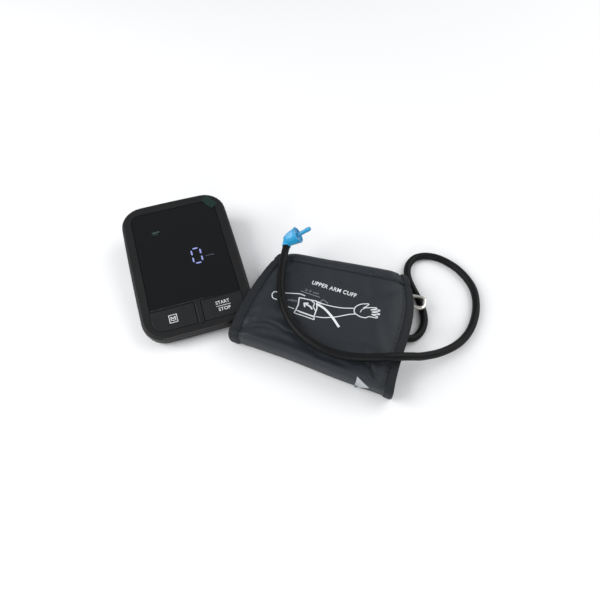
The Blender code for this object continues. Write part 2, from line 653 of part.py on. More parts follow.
def make_power_jack(base):
    shell = rounded(rectangle(-4.5 * MM, 4.5 * MM, -1.65 * MM, 1.65 * MM), 1.6 * MM, 4)
    inner = rounded(rectangle(-4.2 * MM, 4.2 * MM, -1.35 * MM, 1.35 * MM), 1.3 * MM, 4)
    back = 143.4 * MM
    place = {"location": (JACK_X, back, JACK_Z), "rotation": (math.pi / 2, 0, 0)}
    jack = prism("power_jack", shell, 0.0, 7.4 * MM, "nickel", base, **place)
    combine(jack, prism("jack_hollow", inner, -MM, 6.0 * MM, None, base, **place))


def make_batteries(base):
    """Four cells, turned end for end in turn, each between a spring and a plate."""
    height = FLOOR_TOP + 2 * GAP + CELL_RADIUS
    middle = (BAY_FRONT + BAY_BACK) / 2
    for number in range(4):
        y = middle + (number - 1.5) * CELL_PITCH
        facing = 1 if number % 2 == 0 else -1
        spring_wall = BAY_LEFT if facing > 0 else BAY_RIGHT
        plate_wall = BAY_RIGHT if facing > 0 else BAY_LEFT
        foot = spring_wall + facing * (GAP + SPRING_LENGTH + GAP)
        tip, rim = CELL_LENGTH, CELL_LENGTH - CELL_NUB
        edge = 0.5 * MM
        profile = ((0, tip), (1.9 * MM, tip), (1.9 * MM, rim), (CELL_RADIUS - edge, rim),
                   (CELL_RADIUS, rim - edge), (CELL_RADIUS, edge), (CELL_RADIUS - edge, 0), (0, 0))
        turned(f"battery_{number + 1}", profile, "cell_wrap", base, 24,
               location=(foot, y, height), rotation=(0, facing * math.pi / 2, 0))
        plate = plate_wall - facing * (GAP + CONTACT_THICKNESS / 2)
        block(f"contact_plate_{number + 1}", (CONTACT_THICKNESS, 8.5 * MM, 8.5 * MM),
              (plate, y, height), "brass", base)
        coil = []
        turns, points = 2.5, 12
        for step in range(int(turns * points) + 1):
            share = step / (turns * points)
            radius = (3.4 - 1.6 * share) * MM
            angle = 2 * math.pi * turns * share
            along = 0.7 * MM + (SPRING_LENGTH - 1.4 * MM) * share
            coil.append((facing * along, radius * math.cos(angle), radius * math.sin(angle)))
        tube(f"contact_spring_{number + 1}", coil, 0.35 * MM, "nickel", base,
             location=(spring_wall + facing * 0.1 * MM, y, height))


# ---------------------------------------------------------------- cuff

def cuff_point(across, along):
    """A place on the cuff's plan: 0 to 1 across its width and from its front to its back."""
    front_left, front_right, back_right, back_left = (Vector(corner) for corner in CUFF_CORNERS)
    left, right = front_left.lerp(back_left, along), front_right.lerp(back_right, along)
    outward = (right - left).normalized()
    left -= outward * LEFT_BULGE * 4 * along * (1 - along)
    right += outward * RIGHT_BULGE * math.sin(math.pi * along ** RIGHT_SKEW)
    return left.lerp(right, across)


def cuff_slab(name, across, along, low, high, finish_name, base, radius=0.0):
    """A flat layer of the cuff, between shares of its width and depth."""
    steps = CUFF_EDGE_STEPS
    rise = [along[0] + (along[1] - along[0]) * step / steps for step in range(steps + 1)]
    side = [(across[1], share) for share in rise]
    side += [(across[0], share) for share in reversed(rise)]
    radii = [radius if share in (rise[0], rise[-1]) else 0.0 for _, share in side]
    outline = rounded([cuff_point(*pair) for pair in side], radii, 5)
    return prism(name, outline, low, high, finish_name, base)


def make_cuff(base):
    """A flattened sleeve of nylon with two bound edges, and the layers folded inside it."""
    cover = cuff_slab("cuff_cover", (LEFT_HEM, 1 - RIGHT_HEM), (0.0, 1.0), 0.0, CUFF_HEIGHT,
                      "cuff_nylon", base, CUFF_CORNER_RADIUS)
    soften(cover, CUFF_ROUNDING, 3)
    beyond = (-0.2, 1.2)            # the hollow runs out through both bound edges
    combine(cover, cuff_slab("cuff_hollow", beyond, LINED, CUFF_PANEL, CUFF_HEIGHT - CUFF_PANEL,
                             None, base))
    for title, across in (("left_binding", (0.0, LEFT_HEM - HEM_GAP)),
                          ("right_binding", (1 - RIGHT_HEM + HEM_GAP, 1.0))):
        strip = cuff_slab(title, across, (0.0, 1.0), HEM_LOW, HEM_HIGH, "binding_tape", base,
                          HEM_CORNER)
        soften(strip, HEM_ROUNDING, 2)
    cuff_slab("cuff_tail", *TAIL_PLACE, "cuff_nylon", base, TAIL_CORNER)
    cuff_slab("hook_patch", *HOOK_PLACE, "hook_tape", base, HOOK_CORNER)
    bladder = cuff_slab("air_bladder", *BLADDER_PLACE, "bladder_film", base, BLADDER_CORNER)
    soften(bladder, BLADDER_ROUNDING, 2)


def make_ring(base):
    """A long wire ring that swings on the leg held in its sleeve."""
    axis = frame("ring_axis", base, RING_PLACE, (0, 0, RING_TURN))
    half = RING_LENGTH / 2
    loop = rounded(rectangle(-half, half, -RING_SPAN, 0.0), RING_CORNER, 6)
    tube("d_ring", [(x, y, 0.0) for x, y in loop], RING_WIRE, "nickel", axis, cyclic=True)
    sleeve = block_between("ring_sleeve", (SLEEVE_ENDS[0], -SLEEVE_WIDTH / 2,
                                           SLEEVE_BOTTOM - RING_PLACE[2]),
                           (SLEEVE_ENDS[1], SLEEVE_WIDTH / 2, SLEEVE_TOP - RING_PLACE[2]),
                           "cuff_nylon", axis)
    soften(sleeve, 1.5 * MM, 2)
    hole = cylinders("sleeve_hole", RING_WIRE + 2 * GAP, -RING_LENGTH, RING_LENGTH, [(0, 0)],
                     None, axis, 16)
    hole.rotation_euler = (0, math.pi / 2, 0)
    combine(sleeve, hole)


def make_hose(base):
    start, end = Vector(PORT_START), Vector(PORT_END)
    run = end - start
    length = run.length
    root, waist, tip = PORT_RADII
    profile = ((0, length), (tip, length), (waist, length / 2), (root, PORT_ROOT), (root, 0),
               (0, 0))
    turned("hose_port", profile, "rubber_black", base, 24, location=start,
           rotation=run.to_track_quat("Z", "Y").to_euler())
    points = [Vector(point) * MM for point in HOSE_ROUTE]
    tube("air_hose", smooth_route(points, HOSE_STEP), HOSE_RADIUS, "rubber_black", base, 3)


def make_plug(base):
    lying = (Matrix.Rotation(PLUG_TURN, 3, "Z")
             @ Matrix.Rotation(math.pi / 2 - PLUG_RISE, 3, "Y"))
    plug = turned("air_plug", in_metres(PLUG_PROFILE), "plug_blue", base, 24, location=PLUG_BACK,
                  rotation=lying.to_euler())
    hose_end = Vector(HOSE_ROUTE[-1]) * MM
    before = Vector(HOSE_ROUTE[-2]) * MM
    heading = (hose_end - before).normalized()
    collar = cylinders("plug_collar", PLUG_COLLAR, GAP, COLLAR_LENGTH, [(0, 0)], None, base, 20)
    collar.location = hose_end
    collar.rotation_euler = heading.to_track_quat("Z", "Y").to_euler()
    combine(plug, collar, "UNION")


def centre_on_origin(base):
    """Move everything so that the box round the console and cuff is centred on the origin."""
    on_the_cord = ("air_hose", "air_plug")
    graph = bpy.context.evaluated_depsgraph_get()
    low, high = [math.inf] * 2, [-math.inf] * 2
    for item in PARTS.objects:
        if item.name in on_the_cord:
            continue
        shape = item.evaluated_get(graph)
        mesh = shape.to_mesh()
        for vertex in mesh.vertices:
            place = shape.matrix_world @ vertex.co
            for axis in range(2):
                low[axis] = min(low[axis], place[axis])
                high[axis] = max(high[axis], place[axis])
        shape.to_mesh_clear()
    base.location = (-(low[0] + high[0]) / 2, -(low[1] + high[1]) / 2, 0.0)
    print("moved by", [round(value / MM, 4) for value in base.location])


def main():
    make_finishes()
    base = frame("monitor_frame")
    deck = frame("deck_frame", base, (0, 0, FRONT_HEIGHT), (SLOPE, 0, 0))
    make_upper_case(base, deck)
    make_lower_case(base, deck)
    make_battery_door(base)
    make_feet_and_screws(base)
    make_face(deck)
    make_buttons(deck)
    make_air_works(base, deck)
    make_power_jack(base)
    make_batteries(base)
    make_cuff(base)
    make_ring(base)
    make_hose(base)
    make_plug(base)
    bpy.context.view_layer.update()
    centre_on_origin(base)
    bpy.context.view_layer.update()


main()
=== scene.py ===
# %% [markdown]
# # Upper arm blood pressure monitor
# A wedge-shaped desktop console stands beside a folded arm cuff. A rubber hose leaves the
# cuff, loops round on the table and over the cuff, and ends in an elbow plug. The packed
# CAD model is the frame: its hard pieces stay and get finishes, and its plain soft
# solids give way to cloth made here.

# %% Load the frame
import math

import bmesh
import bpy
import numpy as np
from mathutils import Matrix, Vector, noise
from mathutils.bvhtree import BVHTree


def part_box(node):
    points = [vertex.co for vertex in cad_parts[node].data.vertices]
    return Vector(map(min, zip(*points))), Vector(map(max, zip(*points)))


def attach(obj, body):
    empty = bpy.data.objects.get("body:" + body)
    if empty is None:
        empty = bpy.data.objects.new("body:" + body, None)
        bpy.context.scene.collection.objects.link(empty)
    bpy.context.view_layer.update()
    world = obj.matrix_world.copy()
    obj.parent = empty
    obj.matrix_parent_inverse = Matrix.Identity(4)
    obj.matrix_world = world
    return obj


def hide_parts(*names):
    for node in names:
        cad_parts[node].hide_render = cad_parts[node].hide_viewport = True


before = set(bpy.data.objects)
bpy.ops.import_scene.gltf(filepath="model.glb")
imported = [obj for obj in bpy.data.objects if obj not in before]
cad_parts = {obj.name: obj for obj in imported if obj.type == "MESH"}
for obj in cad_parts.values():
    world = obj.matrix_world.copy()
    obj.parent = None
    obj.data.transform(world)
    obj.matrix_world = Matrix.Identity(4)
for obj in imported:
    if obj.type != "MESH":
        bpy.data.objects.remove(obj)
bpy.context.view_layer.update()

MM = 0.001


def linked(name, data):
    """An object that holds the given data, in the scene."""
    item = bpy.data.objects.new(name, data)
    bpy.context.scene.collection.objects.link(item)
    return item


# %% [markdown]
# ## Two frames to work in
# Sizes are easiest to read in millimetres from the middle of the console's front edge.
# The first foot's place in the CAD model says where that is. The top face of the console
# slopes, so it gets a frame of its own, in which z is the height above that face.

# %% Places on the table and on the sloping deck
FOOT_PLACE = Vector((-38.0, 14.0, 0.0))
SLOPE = math.radians(8.6)
FRONT_HEIGHT = 14.0
foot_low, foot_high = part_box("rubber_foot_1")
SHIFT = (foot_low + foot_high) / 2 - FOOT_PLACE * MM
SHIFT.z = 0.0
DECK = (Matrix.Translation(Vector((0, 0, FRONT_HEIGHT * MM)) + SHIFT)
        @ Matrix.Rotation(SLOPE, 4, "X"))


def place(x, y, z=0.0):
    """A point given in millimetres from the console's front edge, in the row frame."""
    return Vector((x, y, z)) * MM + SHIFT


def on_deck(x, y, lift=0.0):
    """A point on the console's sloping top, lifted off it, in the row frame."""
    return DECK @ (Vector((x, y, lift)) * MM)


print("console front edge at", [round(value / MM, 1) for value in place(0, 0)], "mm")

# %% [markdown]
# ## The camera
# It stands in front and to the right of the console, about half a metre off, and looks
# down steeply. The lens is a short one, so the near edges spread a little.

# %% Camera
CAMERA_TARGET = place(94.17, 12.34)
CAMERA_TURN, CAMERA_RISE = math.radians(-18.178), math.radians(54.961)
CAMERA_DISTANCE = 475.6 * MM
LENS_LENGTH, SENSOR_WIDTH = 30.0, 36.0
lens = bpy.data.cameras.new("camera")
lens.lens, lens.sensor_width = LENS_LENGTH, SENSOR_WIDTH
camera = linked("camera", lens)
back = Vector((math.sin(CAMERA_TURN) * math.cos(CAMERA_RISE),
               -math.cos(CAMERA_TURN) * math.cos(CAMERA_RISE), math.sin(CAMERA_RISE)))
camera.location = CAMERA_TARGET + back * CAMERA_DISTANCE
camera.rotation_euler = (-back).to_track_quat("-Z", "Y").to_euler()
bpy.context.scene.camera = camera
print("camera", [round(value, 3) for value in camera.location])

# %% [markdown]
# ## Small helpers
# `as_piece` turns points and faces into a mesh object with smooth faces. `settled` applies
# an object's modifiers, so that the finished piece is a plain mesh at the origin.

# %% Mesh helpers
SHARP_ANGLE = 50                    # degrees; sharper edges than this stay hard
WELD = 0.001 * MM


def smoothed(mesh, sharp):
    """Smooth the mesh's faces, but not across edges sharper than an angle in degrees."""
    mesh.shade_smooth()
    mesh.set_sharp_from_angle(angle=math.radians(sharp))


def as_piece(name, points, faces):
    """A mesh object from points in the row frame."""
    mesh = bpy.data.meshes.new(name)
    mesh.from_pydata([tuple(point) for point in points], [], [tuple(face) for face in faces])
    mesh.update()
    smoothed(mesh, SHARP_ANGLE)
    return linked(name, mesh)


def settled(piece, outward=True, sharp=SHARP_ANGLE):
    """Apply the piece's modifiers and its place, and turn its faces outwards."""
    graph = bpy.context.evaluated_depsgraph_get()
    mesh = bpy.data.meshes.new_from_object(piece.evaluated_get(graph))
    mesh.transform(piece.matrix_world)
    name = piece.name
    bpy.data.objects.remove(piece)
    if outward:
        bm = bmesh.new()
        bm.from_mesh(mesh)
        bmesh.ops.remove_doubles(bm, verts=bm.verts, dist=WELD)
        bmesh.ops.recalc_face_normals(bm, faces=bm.faces)
        bm.to_mesh(mesh)
        bm.free()
    smoothed(mesh, sharp)
    mesh.name = name
    return linked(name, mesh)


def give_uv(piece, pairs):
    """Set the piece's UV map, in metres, from one pair for each face corner."""
    layer = piece.data.uv_layers.new(name="cloth")
    for item, pair in zip(layer.data, pairs):
        item.uv = pair


def add_spline(curve, line):
    """A spline of straight steps through the points of a line."""
    spline = curve.splines.new("POLY")
    spline.points.add(len(line) - 1)
    for point, position in zip(spline.points, line):
        point.co = (*position, 1.0)
    return spline


def smooth_line(points, steps=12, closed=False):
    """Points along a smooth curve through the given ones."""
    points = [Vector(point) for point in points]
    if closed:
        run = [points[-1]] + points + points[:2]
    else:
        run = [points[0] * 2 - points[1]] + points + [points[-1] * 2 - points[-2]]
    dense = []
    for a, b, c, d in zip(run, run[1:], run[2:], run[3:]):
        for part in range(steps):
            t = part / steps
            dense.append(0.5 * ((2 * b) + (c - a) * t + (2 * a - 5 * b + 4 * c - d) * t * t
                                + (3 * b - a - 3 * c + d) * t ** 3))
    if not closed:
        dense.append(points[-1])
    return dense


def even_line(dense, step):
    """Points at even steps along a dense line."""
    lengths = [0.0]
    for start, end in zip(dense, dense[1:]):
        lengths.append(lengths[-1] + (end - start).length)
    count = max(1, round(lengths[-1] / step))
    route, index = [], 0
    for number in range(count + 1):
        goal = lengths[-1] * number / count
        while index < len(dense) - 2 and lengths[index + 1] < goal:
            index += 1
        share = (goal - lengths[index]) / max(lengths[index + 1] - lengths[index], 1e-9)
        route.append(dense[index].lerp(dense[index + 1], share))
    return route


print("helpers ready")

# %% [markdown]
# ## Shared surface effects
# Three effects come back in many finishes: the fine grain and worn patches of moulded
# plastic and rubber, the crossed threads of cloth, and settled dust. Each is a node group
# with named inputs, built once. The groups give colours, roughness and heights that change
# over the surface, and the shader itself stays in the material.

# %% Node helpers
def node_group(title, inputs, outputs):
    """An empty shader node group with named sockets; returns it, its inputs and its end node."""
    group = bpy.data.node_groups.new(title, "ShaderNodeTree")
    for side, sockets in (("INPUT", inputs), ("OUTPUT", outputs)):
        for label, kind, *value in sockets:
            socket = group.interface.new_socket(name=label, in_out=side,
                                                socket_type=f"NodeSocket{kind}")
            if value:
                socket.default_value = value[0]
    return group, group.nodes.new("NodeGroupInput").outputs, group.nodes.new("NodeGroupOutput")


def wire(tree, kind, settings=None, **sockets):
    """Add a node, set its properties, and fill its inputs with links or plain values."""
    node = tree.nodes.new(kind)
    for key, value in (settings or {}).items():
        setattr(node, key, value)
    fill(tree, node, **sockets)
    return node


def fill(tree, node, **sockets):
    """Fill a node's inputs, found by name or as i and a number, with links or plain values."""
    for label, value in sockets.items():
        key = int(label[1:]) if label[0] == "i" and label[1:].isdigit() else label.replace("_", " ")
        if isinstance(value, bpy.types.NodeSocket):
            tree.links.new(value, node.inputs[key])
        else:
            node.inputs[key].default_value = value


def mottled(tree, vector, scale, detail, roughness=0.5):
    """Soft noise over the surface."""
    return wire(tree, "ShaderNodeTexNoise", Vector=vector, Scale=scale, Detail=detail,
                Roughness=roughness).outputs["Fac"]


def ranged(tree, value, low, high):
    """A value, from 0 at low to 1 at high."""
    return wire(tree, "ShaderNodeMapRange", Value=value, From_Min=low, From_Max=high).outputs[0]


def worked(tree, operation, *values):
    """The result of a math node."""
    return wire(tree, "ShaderNodeMath", {"operation": operation},
                **{f"i{place}": value for place, value in enumerate(values)}).outputs[0]


def mixed(tree, share, first, second):
    """A colour between two others."""
    return wire(tree, "ShaderNodeMix", {"data_type": "RGBA"}, Factor=share, i6=first,
                i7=second).outputs[2]


MADE = [("Color", "Color"), ("Roughness", "Float"), ("Height", "Float")]

# %% Grain of moulded plastic and rubber
grain_group, given, end = node_group(
    "moulded_grain",
    [("Vector", "Vector"), ("Scale", "Float", 900.0), ("Color", "Color"), ("Worn Color", "Color"),
     ("Wear", "Float", 0.25), ("Roughness", "Float", 0.5), ("Spread", "Float", 0.1)], MADE)
fine = mottled(grain_group, given["Vector"], given["Scale"], 3.0)
broad = mottled(grain_group, given["Vector"], 38.0, 5.0, 0.6)
worn = worked(grain_group, "MULTIPLY", ranged(grain_group, broad, 0.42, 0.72), given["Wear"])
swing = worked(grain_group, "SUBTRACT", broad, 0.5)
fill(grain_group, end, Height=fine,
     Color=mixed(grain_group, worn, given["Color"], given["Worn Color"]),
     Roughness=worked(grain_group, "MULTIPLY_ADD", swing, given["Spread"], given["Roughness"]))
print("group", grain_group.name)

# %% [markdown]
# ## Woven cloth
# The cuff is plain-woven nylon. Two sets of bands, at right angles, rise and sink like
# threads. The cloth pieces carry their own UV map in metres, so the threads follow them
# over the folds. A slow noise fades the colour where the cloth has been handled.

# %% Weave
weave_group, given, end = node_group(
    "plain_weave",
    [("Vector", "Vector"), ("Threads", "Float", 1500.0), ("Color", "Color"),
     ("Thread Color", "Color"), ("Contrast", "Float", 0.4), ("Faded Color", "Color"),
     ("Fade", "Float", 0.3), ("Roughness", "Float", 0.6)], MADE)
bands = [wire(weave_group, "ShaderNodeTexWave",
              {"wave_type": "BANDS", "bands_direction": direction, "wave_profile": "SIN"},
              Vector=given["Vector"], Scale=given["Threads"], Distortion=0.35,
              Detail=1.0).outputs["Fac"] for direction in ("X", "Y")]
over = worked(weave_group, "MAXIMUM", *bands)
slubs = mottled(weave_group, given["Vector"], 260.0, 4.0)
broad = mottled(weave_group, given["Vector"], 22.0, 4.0, 0.55)
shown = worked(weave_group, "MULTIPLY", worked(weave_group, "MULTIPLY", over, slubs),
               given["Contrast"])
woven = mixed(weave_group, shown, given["Color"], given["Thread Color"])
fading = worked(weave_group, "MULTIPLY", ranged(weave_group, broad, 0.45, 0.75), given["Fade"])
fill(weave_group, end, Color=mixed(weave_group, fading, woven, given["Faded Color"]),
     Roughness=worked(weave_group, "MULTIPLY_ADD", broad, 0.12, given["Roughness"]),
     Height=worked(weave_group, "MULTIPLY_ADD", slubs, 0.5, over))
print("group", weave_group.name)

# %% Dust that settles on faces that look up
dust_group, given, end = node_group(
    "settled_dust",
    [("Vector", "Vector"), ("Color", "Color"), ("Dust Color", "Color", (0.35, 0.34, 0.32, 1.0)),
     ("Amount", "Float", 0.06), ("Scale", "Float", 420.0)], MADE[:1])
specks = mottled(dust_group, given["Vector"], given["Scale"], 6.0, 0.7)
facing = wire(dust_group, "ShaderNodeNewGeometry").outputs["Normal"]
upright = wire(dust_group, "ShaderNodeSeparateXYZ", Vector=facing).outputs["Z"]
lying = worked(dust_group, "MULTIPLY", ranged(dust_group, specks, 0.52, 0.8),
               ranged(dust_group, upright, 0.3, 0.95))
level = worked(dust_group, "MULTIPLY", lying, given["Amount"])
fill(dust_group, end, Color=mixed(dust_group, level, given["Color"], given["Dust Color"]))
print("group", dust_group.name)

# %% [markdown]
# ## Finishes
# `moulded` makes a plastic, rubber or metal finish from the grain and dust groups, and
# `cloth` a woven one. Values that are the same all over are set on the shader's sockets.

# %% Finish makers
GRAIN_DEPTH, WEAVE_DEPTH = 0.05 * MM, 0.12 * MM


def shader(name, constants):
    """A material with its Principled shader, and that shader's plain values set."""
    material = bpy.data.materials.new(name)
    material.use_nodes = True
    tree = material.node_tree
    body = tree.nodes["Principled BSDF"]
    fill(tree, body, **constants)
    return material, tree, body


def shade(colour, factor):
    """A colour made lighter or darker, with its alpha."""
    return tuple(min(1.0, value * factor) for value in colour) + (1.0,)


def finished(name, group, source, dust, bump, depth, constants, **values):
    """A material fed by a group node, with dust on its colour and a bump from its height."""
    material, tree, body = shader(name, constants)
    spots = tree.nodes.new("ShaderNodeTexCoord").outputs
    made = wire(tree, "ShaderNodeGroup", {"node_tree": group}, Vector=spots[source],
                **values).outputs
    colour = made["Color"]
    if dust:
        colour = wire(tree, "ShaderNodeGroup", {"node_tree": dust_group}, Vector=spots["Object"],
                      Color=colour, Amount=dust).outputs["Color"]
    relief = wire(tree, "ShaderNodeBump", Height=made["Height"], Strength=bump, Distance=depth)
    fill(tree, body, Base_Color=colour, Roughness=made["Roughness"],
         Normal=relief.outputs["Normal"])
    return material


def moulded(name, colour, roughness, scale=900.0, wear=0.25, lift=1.7, spread=0.12, dust=0.008,
            bump=0.25, **constants):
    """Plastic, rubber or metal with a fine moulded grain."""
    return finished(name, grain_group, "Object", dust, bump, GRAIN_DEPTH, constants, Scale=scale,
                    Color=shade(colour, 1.0), Worn_Color=shade(colour, lift), Wear=wear,
                    Roughness=roughness, Spread=spread)


def cloth(name, colour, roughness, threads=420.0, contrast=0.5, fade=0.35, lift=1.6, dust=0.008,
          bump=0.5, **constants):
    """Plain-woven cloth; its threads follow the piece's own UV map."""
    return finished(name, weave_group, "UV", dust, bump, WEAVE_DEPTH, constants, Threads=threads,
                    Color=shade(colour, 0.8), Thread_Color=shade(colour, 1.5), Contrast=contrast,
                    Faded_Color=shade(colour, lift), Fade=fade, Roughness=roughness)


# %% The finishes
CASE = (0.0085, 0.0086, 0.0090)
SLATE = (0.0135, 0.0170, 0.0215)
case_finish = moulded("case_black", CASE, 0.42, scale=1300.0, bump=0.35, Specular_IOR_Level=0.22)
button_finish = moulded("button_black", (0.0125, 0.0130, 0.0140), 0.46, scale=1500.0, bump=0.3,
                        Specular_IOR_Level=0.16)
window_finish = moulded("window_black", (0.0022, 0.0024, 0.0030), 0.10, scale=60.0, wear=0.3,
                        spread=0.05, dust=0.004, bump=0.02, Specular_IOR_Level=0.28)
rubber_finish = moulded("hose_rubber", (0.0024, 0.0025, 0.0028), 0.50, scale=700.0, wear=0.5,
                        lift=2.2, spread=0.25, dust=0.02, bump=0.3, Specular_IOR_Level=0.16)
foot_finish = moulded("foot_rubber", (0.014, 0.014, 0.015), 0.7, scale=800.0)
plug_finish = moulded("plug_blue", (0.016, 0.29, 0.54), 0.30, scale=420.0, wear=0.35, lift=1.25,
                      spread=0.1, dust=0.04, bump=0.12, Coat_Weight=0.15)
nickel_finish = moulded("ring_nickel", (0.70, 0.67, 0.60), 0.16, scale=500.0, wear=0.6, lift=0.62,
                        spread=0.35, dust=0.03, bump=0.12, Metallic=1.0)
steel_finish = moulded("screw_steel", (0.50, 0.50, 0.49), 0.32, scale=900.0, wear=0.4, lift=0.7,
                       Metallic=1.0)
brass_finish = moulded("contact_brass", (0.66, 0.47, 0.18), 0.3, wear=0.4, lift=0.7, Metallic=1.0)
inner_black = moulded("inner_black", (0.018, 0.018, 0.020), 0.5)
board_finish = moulded("board_green", (0.012, 0.13, 0.05), 0.4, scale=300.0, wear=0.4)
white_finish = moulded("inner_white", (0.70, 0.70, 0.67), 0.4, wear=0.2, lift=0.85)
silicone_finish = moulded("inner_silicone", (0.62, 0.64, 0.62), 0.35, wear=0.3, lift=0.85)
cell_finish = moulded("cell_blue", (0.03, 0.08, 0.25), 0.28, wear=0.5, lift=1.5, Coat_Weight=0.4)
nylon_finish = cloth("cuff_nylon", SLATE, 0.46, Specular_IOR_Level=0.3)
tape_finish = cloth("binding_tape", (0.0085, 0.0105, 0.0130), 0.58, threads=330.0, contrast=0.8,
                    fade=0.25, bump=0.8, Specular_IOR_Level=0.25)
lining_finish = cloth("bladder_cloth", (0.030, 0.033, 0.038), 0.6, threads=400.0)
# The thread is darker than the cloth: its own dark colour, plus painted shade for the shadow in the
# seam grooves.
shaded_thread_finish = moulded("sewing_thread_painted_shade", (0.010, 0.012, 0.015), 0.6, scale=2500.0, dust=0.0)
print(len(bpy.data.materials), "materials")

# %% [markdown]
# ## The hose
# A smooth rubber tube, 7 mm across, springs out from between the cuff's layers, turns back
# under the wire ring, makes a loose loop on the table and climbs over the cuff. It is stiff
# enough to hold wide bends. A curve with a bevel keeps its centre line exact.

# %% Hose
HOSE_ROUTE = (                      # millimetres; from the cuff's port to the plug
    (161.5, -58.85, 9.1), (165.3, -59.7, 8.7), (169.8, -60.9, 6.6), (175.0, -61.8, 4.6),
    (181.2, -60.2, 3.7), (188.0, -55.6, 3.7), (193.6, -48.6, 3.7), (196.7, -41.2, 3.7),
    (198.6, -33.0, 3.7), (199.7, -23.5, 3.7), (200.0, -12.2, 3.7), (200.9, -1.0, 3.7),
    (203.8, 9.3, 3.7), (210.2, 18.0, 3.7), (220.2, 22.9, 3.7), (232.4, 20.8, 3.7),
    (243.8, 11.6, 3.7), (253.0, -5.8, 3.7), (254.9, -28.8, 3.7), (246.1, -50.4, 3.7),
    (230.6, -68.4, 4.2), (212.0, -79.6, 6.5), (190.8, -85.4, 11.5), (170.5, -86.8, 18.0),
    (159.7, -86.4, 23.2), (149.2, -85.6, 27.6), (138.3, -83.9, 30.2), (127.0, -81.0, 30.4),
    (107.8, -73.4, 30.2), (91.4, -61.2, 30.2), (79.6, -45.6, 30.2), (73.4, -28.6, 30.2),
    (72.0, -12.0, 30.2), (73.6, 2.0, 30.2), (77.4, 16.6, 30.2), (85.0, 36.4, 30.3),
    (94.1, 54.0, 31.0),
)
HOSE_RADIUS, HOSE_STEP = 3.5, 3.0   # millimetres
hose_line = even_line(smooth_line([place(*point) for point in HOSE_ROUTE]), HOSE_STEP * MM)
hose_curve = bpy.data.curves.new("air_hose_rubber", "CURVE")
hose_curve.dimensions = "3D"
hose_curve.bevel_depth = HOSE_RADIUS * MM
hose_curve.bevel_resolution = 6
hose_curve.use_fill_caps = True
add_spline(hose_curve, hose_line).use_smooth = True
hose = linked("air_hose_rubber", hose_curve)
hose_curve.materials.append(rubber_finish)

# %% [markdown]
# ## The plug
# The blue plug is a turned shape lying on its side: a bell with four ribs, a wide flange and
# a slim nozzle with a sealing bead. A short collar grips the hose end. The turned outline is
# spun in code, the ribs swell it at four places, and the collar is a separate sleeve.

# %% Plug
PLUG_TURN, PLUG_RISE = math.radians(-10.6), math.radians(32.4)
PLUG_BACK = place(95.2, 60.3, 31.4)
PLUG_PROFILE = (                    # radius and distance along the plug's axis, millimetres
    (0.0, 28.4), (1.1, 28.4), (1.75, 28.0), (2.0, 27.2), (1.85, 26.6), (2.15, 26.0),
    (2.15, 25.4), (1.9, 25.0), (2.25, 24.4), (2.25, 23.7), (1.95, 23.3), (2.0, 19.0),
    (2.0, 14.4), (2.5, 13.5), (5.6, 13.3), (6.3, 13.7), (6.7, 14.8), (7.1, 15.1), (7.7, 15.0),
    (8.1, 14.6), (8.15, 14.0), (7.95, 13.4), (7.6, 12.7), (7.4, 11.0), (7.0, 8.4),
    (6.5, 5.6), (5.9, 3.2), (5.2, 1.5), (4.2, 0.5), (2.4, 0.05), (0.0, 0.0),
)
COLLAR_PROFILE = ((0.0, 9.5), (3.2, 9.4), (4.0, 8.6), (4.35, 6.0), (4.3, 3.4), (4.2, 1.2),
                  (4.1, 0.6), (3.8, 0.3), (0.0, 0.2))
RIBS, RIB_SWELL, RIB_EDGE = 4, 0.6, 10      # how many, how proud, and how narrow they are
RIB_START, RIB_STOP = 0.5, 12.8
AROUND = 72


def spun(name, profile, stand, swell=0.0):
    """A turned solid set by a matrix, whose radius swells at the ribs along its bell."""
    points, faces, rows = [], [], []
    for radius, along in profile:
        row = []
        for step in range(AROUND if radius else 1):
            turn = math.tau * step / AROUND
            ribbed = RIB_START < along < RIB_STOP
            rib = max(0.0, math.cos(RIBS * turn)) ** RIB_EDGE if ribbed else 0.0
            reach = radius + swell * rib if radius else 0.0
            row.append(len(points))
            points.append(stand @ (Vector((reach * math.cos(turn), reach * math.sin(turn), along))
                                   * MM))
        rows.append(row)
    for upper, lower in zip(rows, rows[1:]):
        for step in range(AROUND):
            after = (step + 1) % AROUND
            loop = [upper[step % len(upper)], lower[step % len(lower)],
                    lower[after % len(lower)], upper[after % len(upper)]]
            faces.append(list(dict.fromkeys(loop)))
    piece = settled(as_piece(name, points, faces))
    piece.data.materials.append(plug_finish)
    return piece


lying = (Matrix.Translation(PLUG_BACK) @ Matrix.Rotation(PLUG_TURN, 4, "Z")
         @ Matrix.Rotation(math.pi / 2 - PLUG_RISE, 4, "Y"))
plug = spun("plug_elbow", PLUG_PROFILE, lying, RIB_SWELL)
hose_heading = (hose_line[-1] - hose_line[-4]).normalized().to_track_quat("Z", "Y")
collar = spun("plug_collar", COLLAR_PROFILE,
              Matrix.Translation(hose_line[-1]) @ hose_heading.to_matrix().to_4x4())
print("plug", len(plug.data.polygons), "faces")

# %% [markdown]
# ## The plan of the cuff
# Folded, the cuff is a flat four-sided parcel turned about forty degrees from the console.
# Its two bound edges bow outwards. `cuff_plan` finds a place in that plan from two shares:
# `across`, from the bound edge by the console to the other, and `along`, from front to back.

# %% Cuff plan
CUFF_CORNERS = ((19.6, -16.0), (132.6, -109.5), (193.8, -5.0), (89.8, 58.0))
LEFT_BULGE, RIGHT_BULGE, RIGHT_SKEW = 5.0, 9.0, 1.6
CUFF_WIDTH, CUFF_DEPTH = 0.146, 0.110


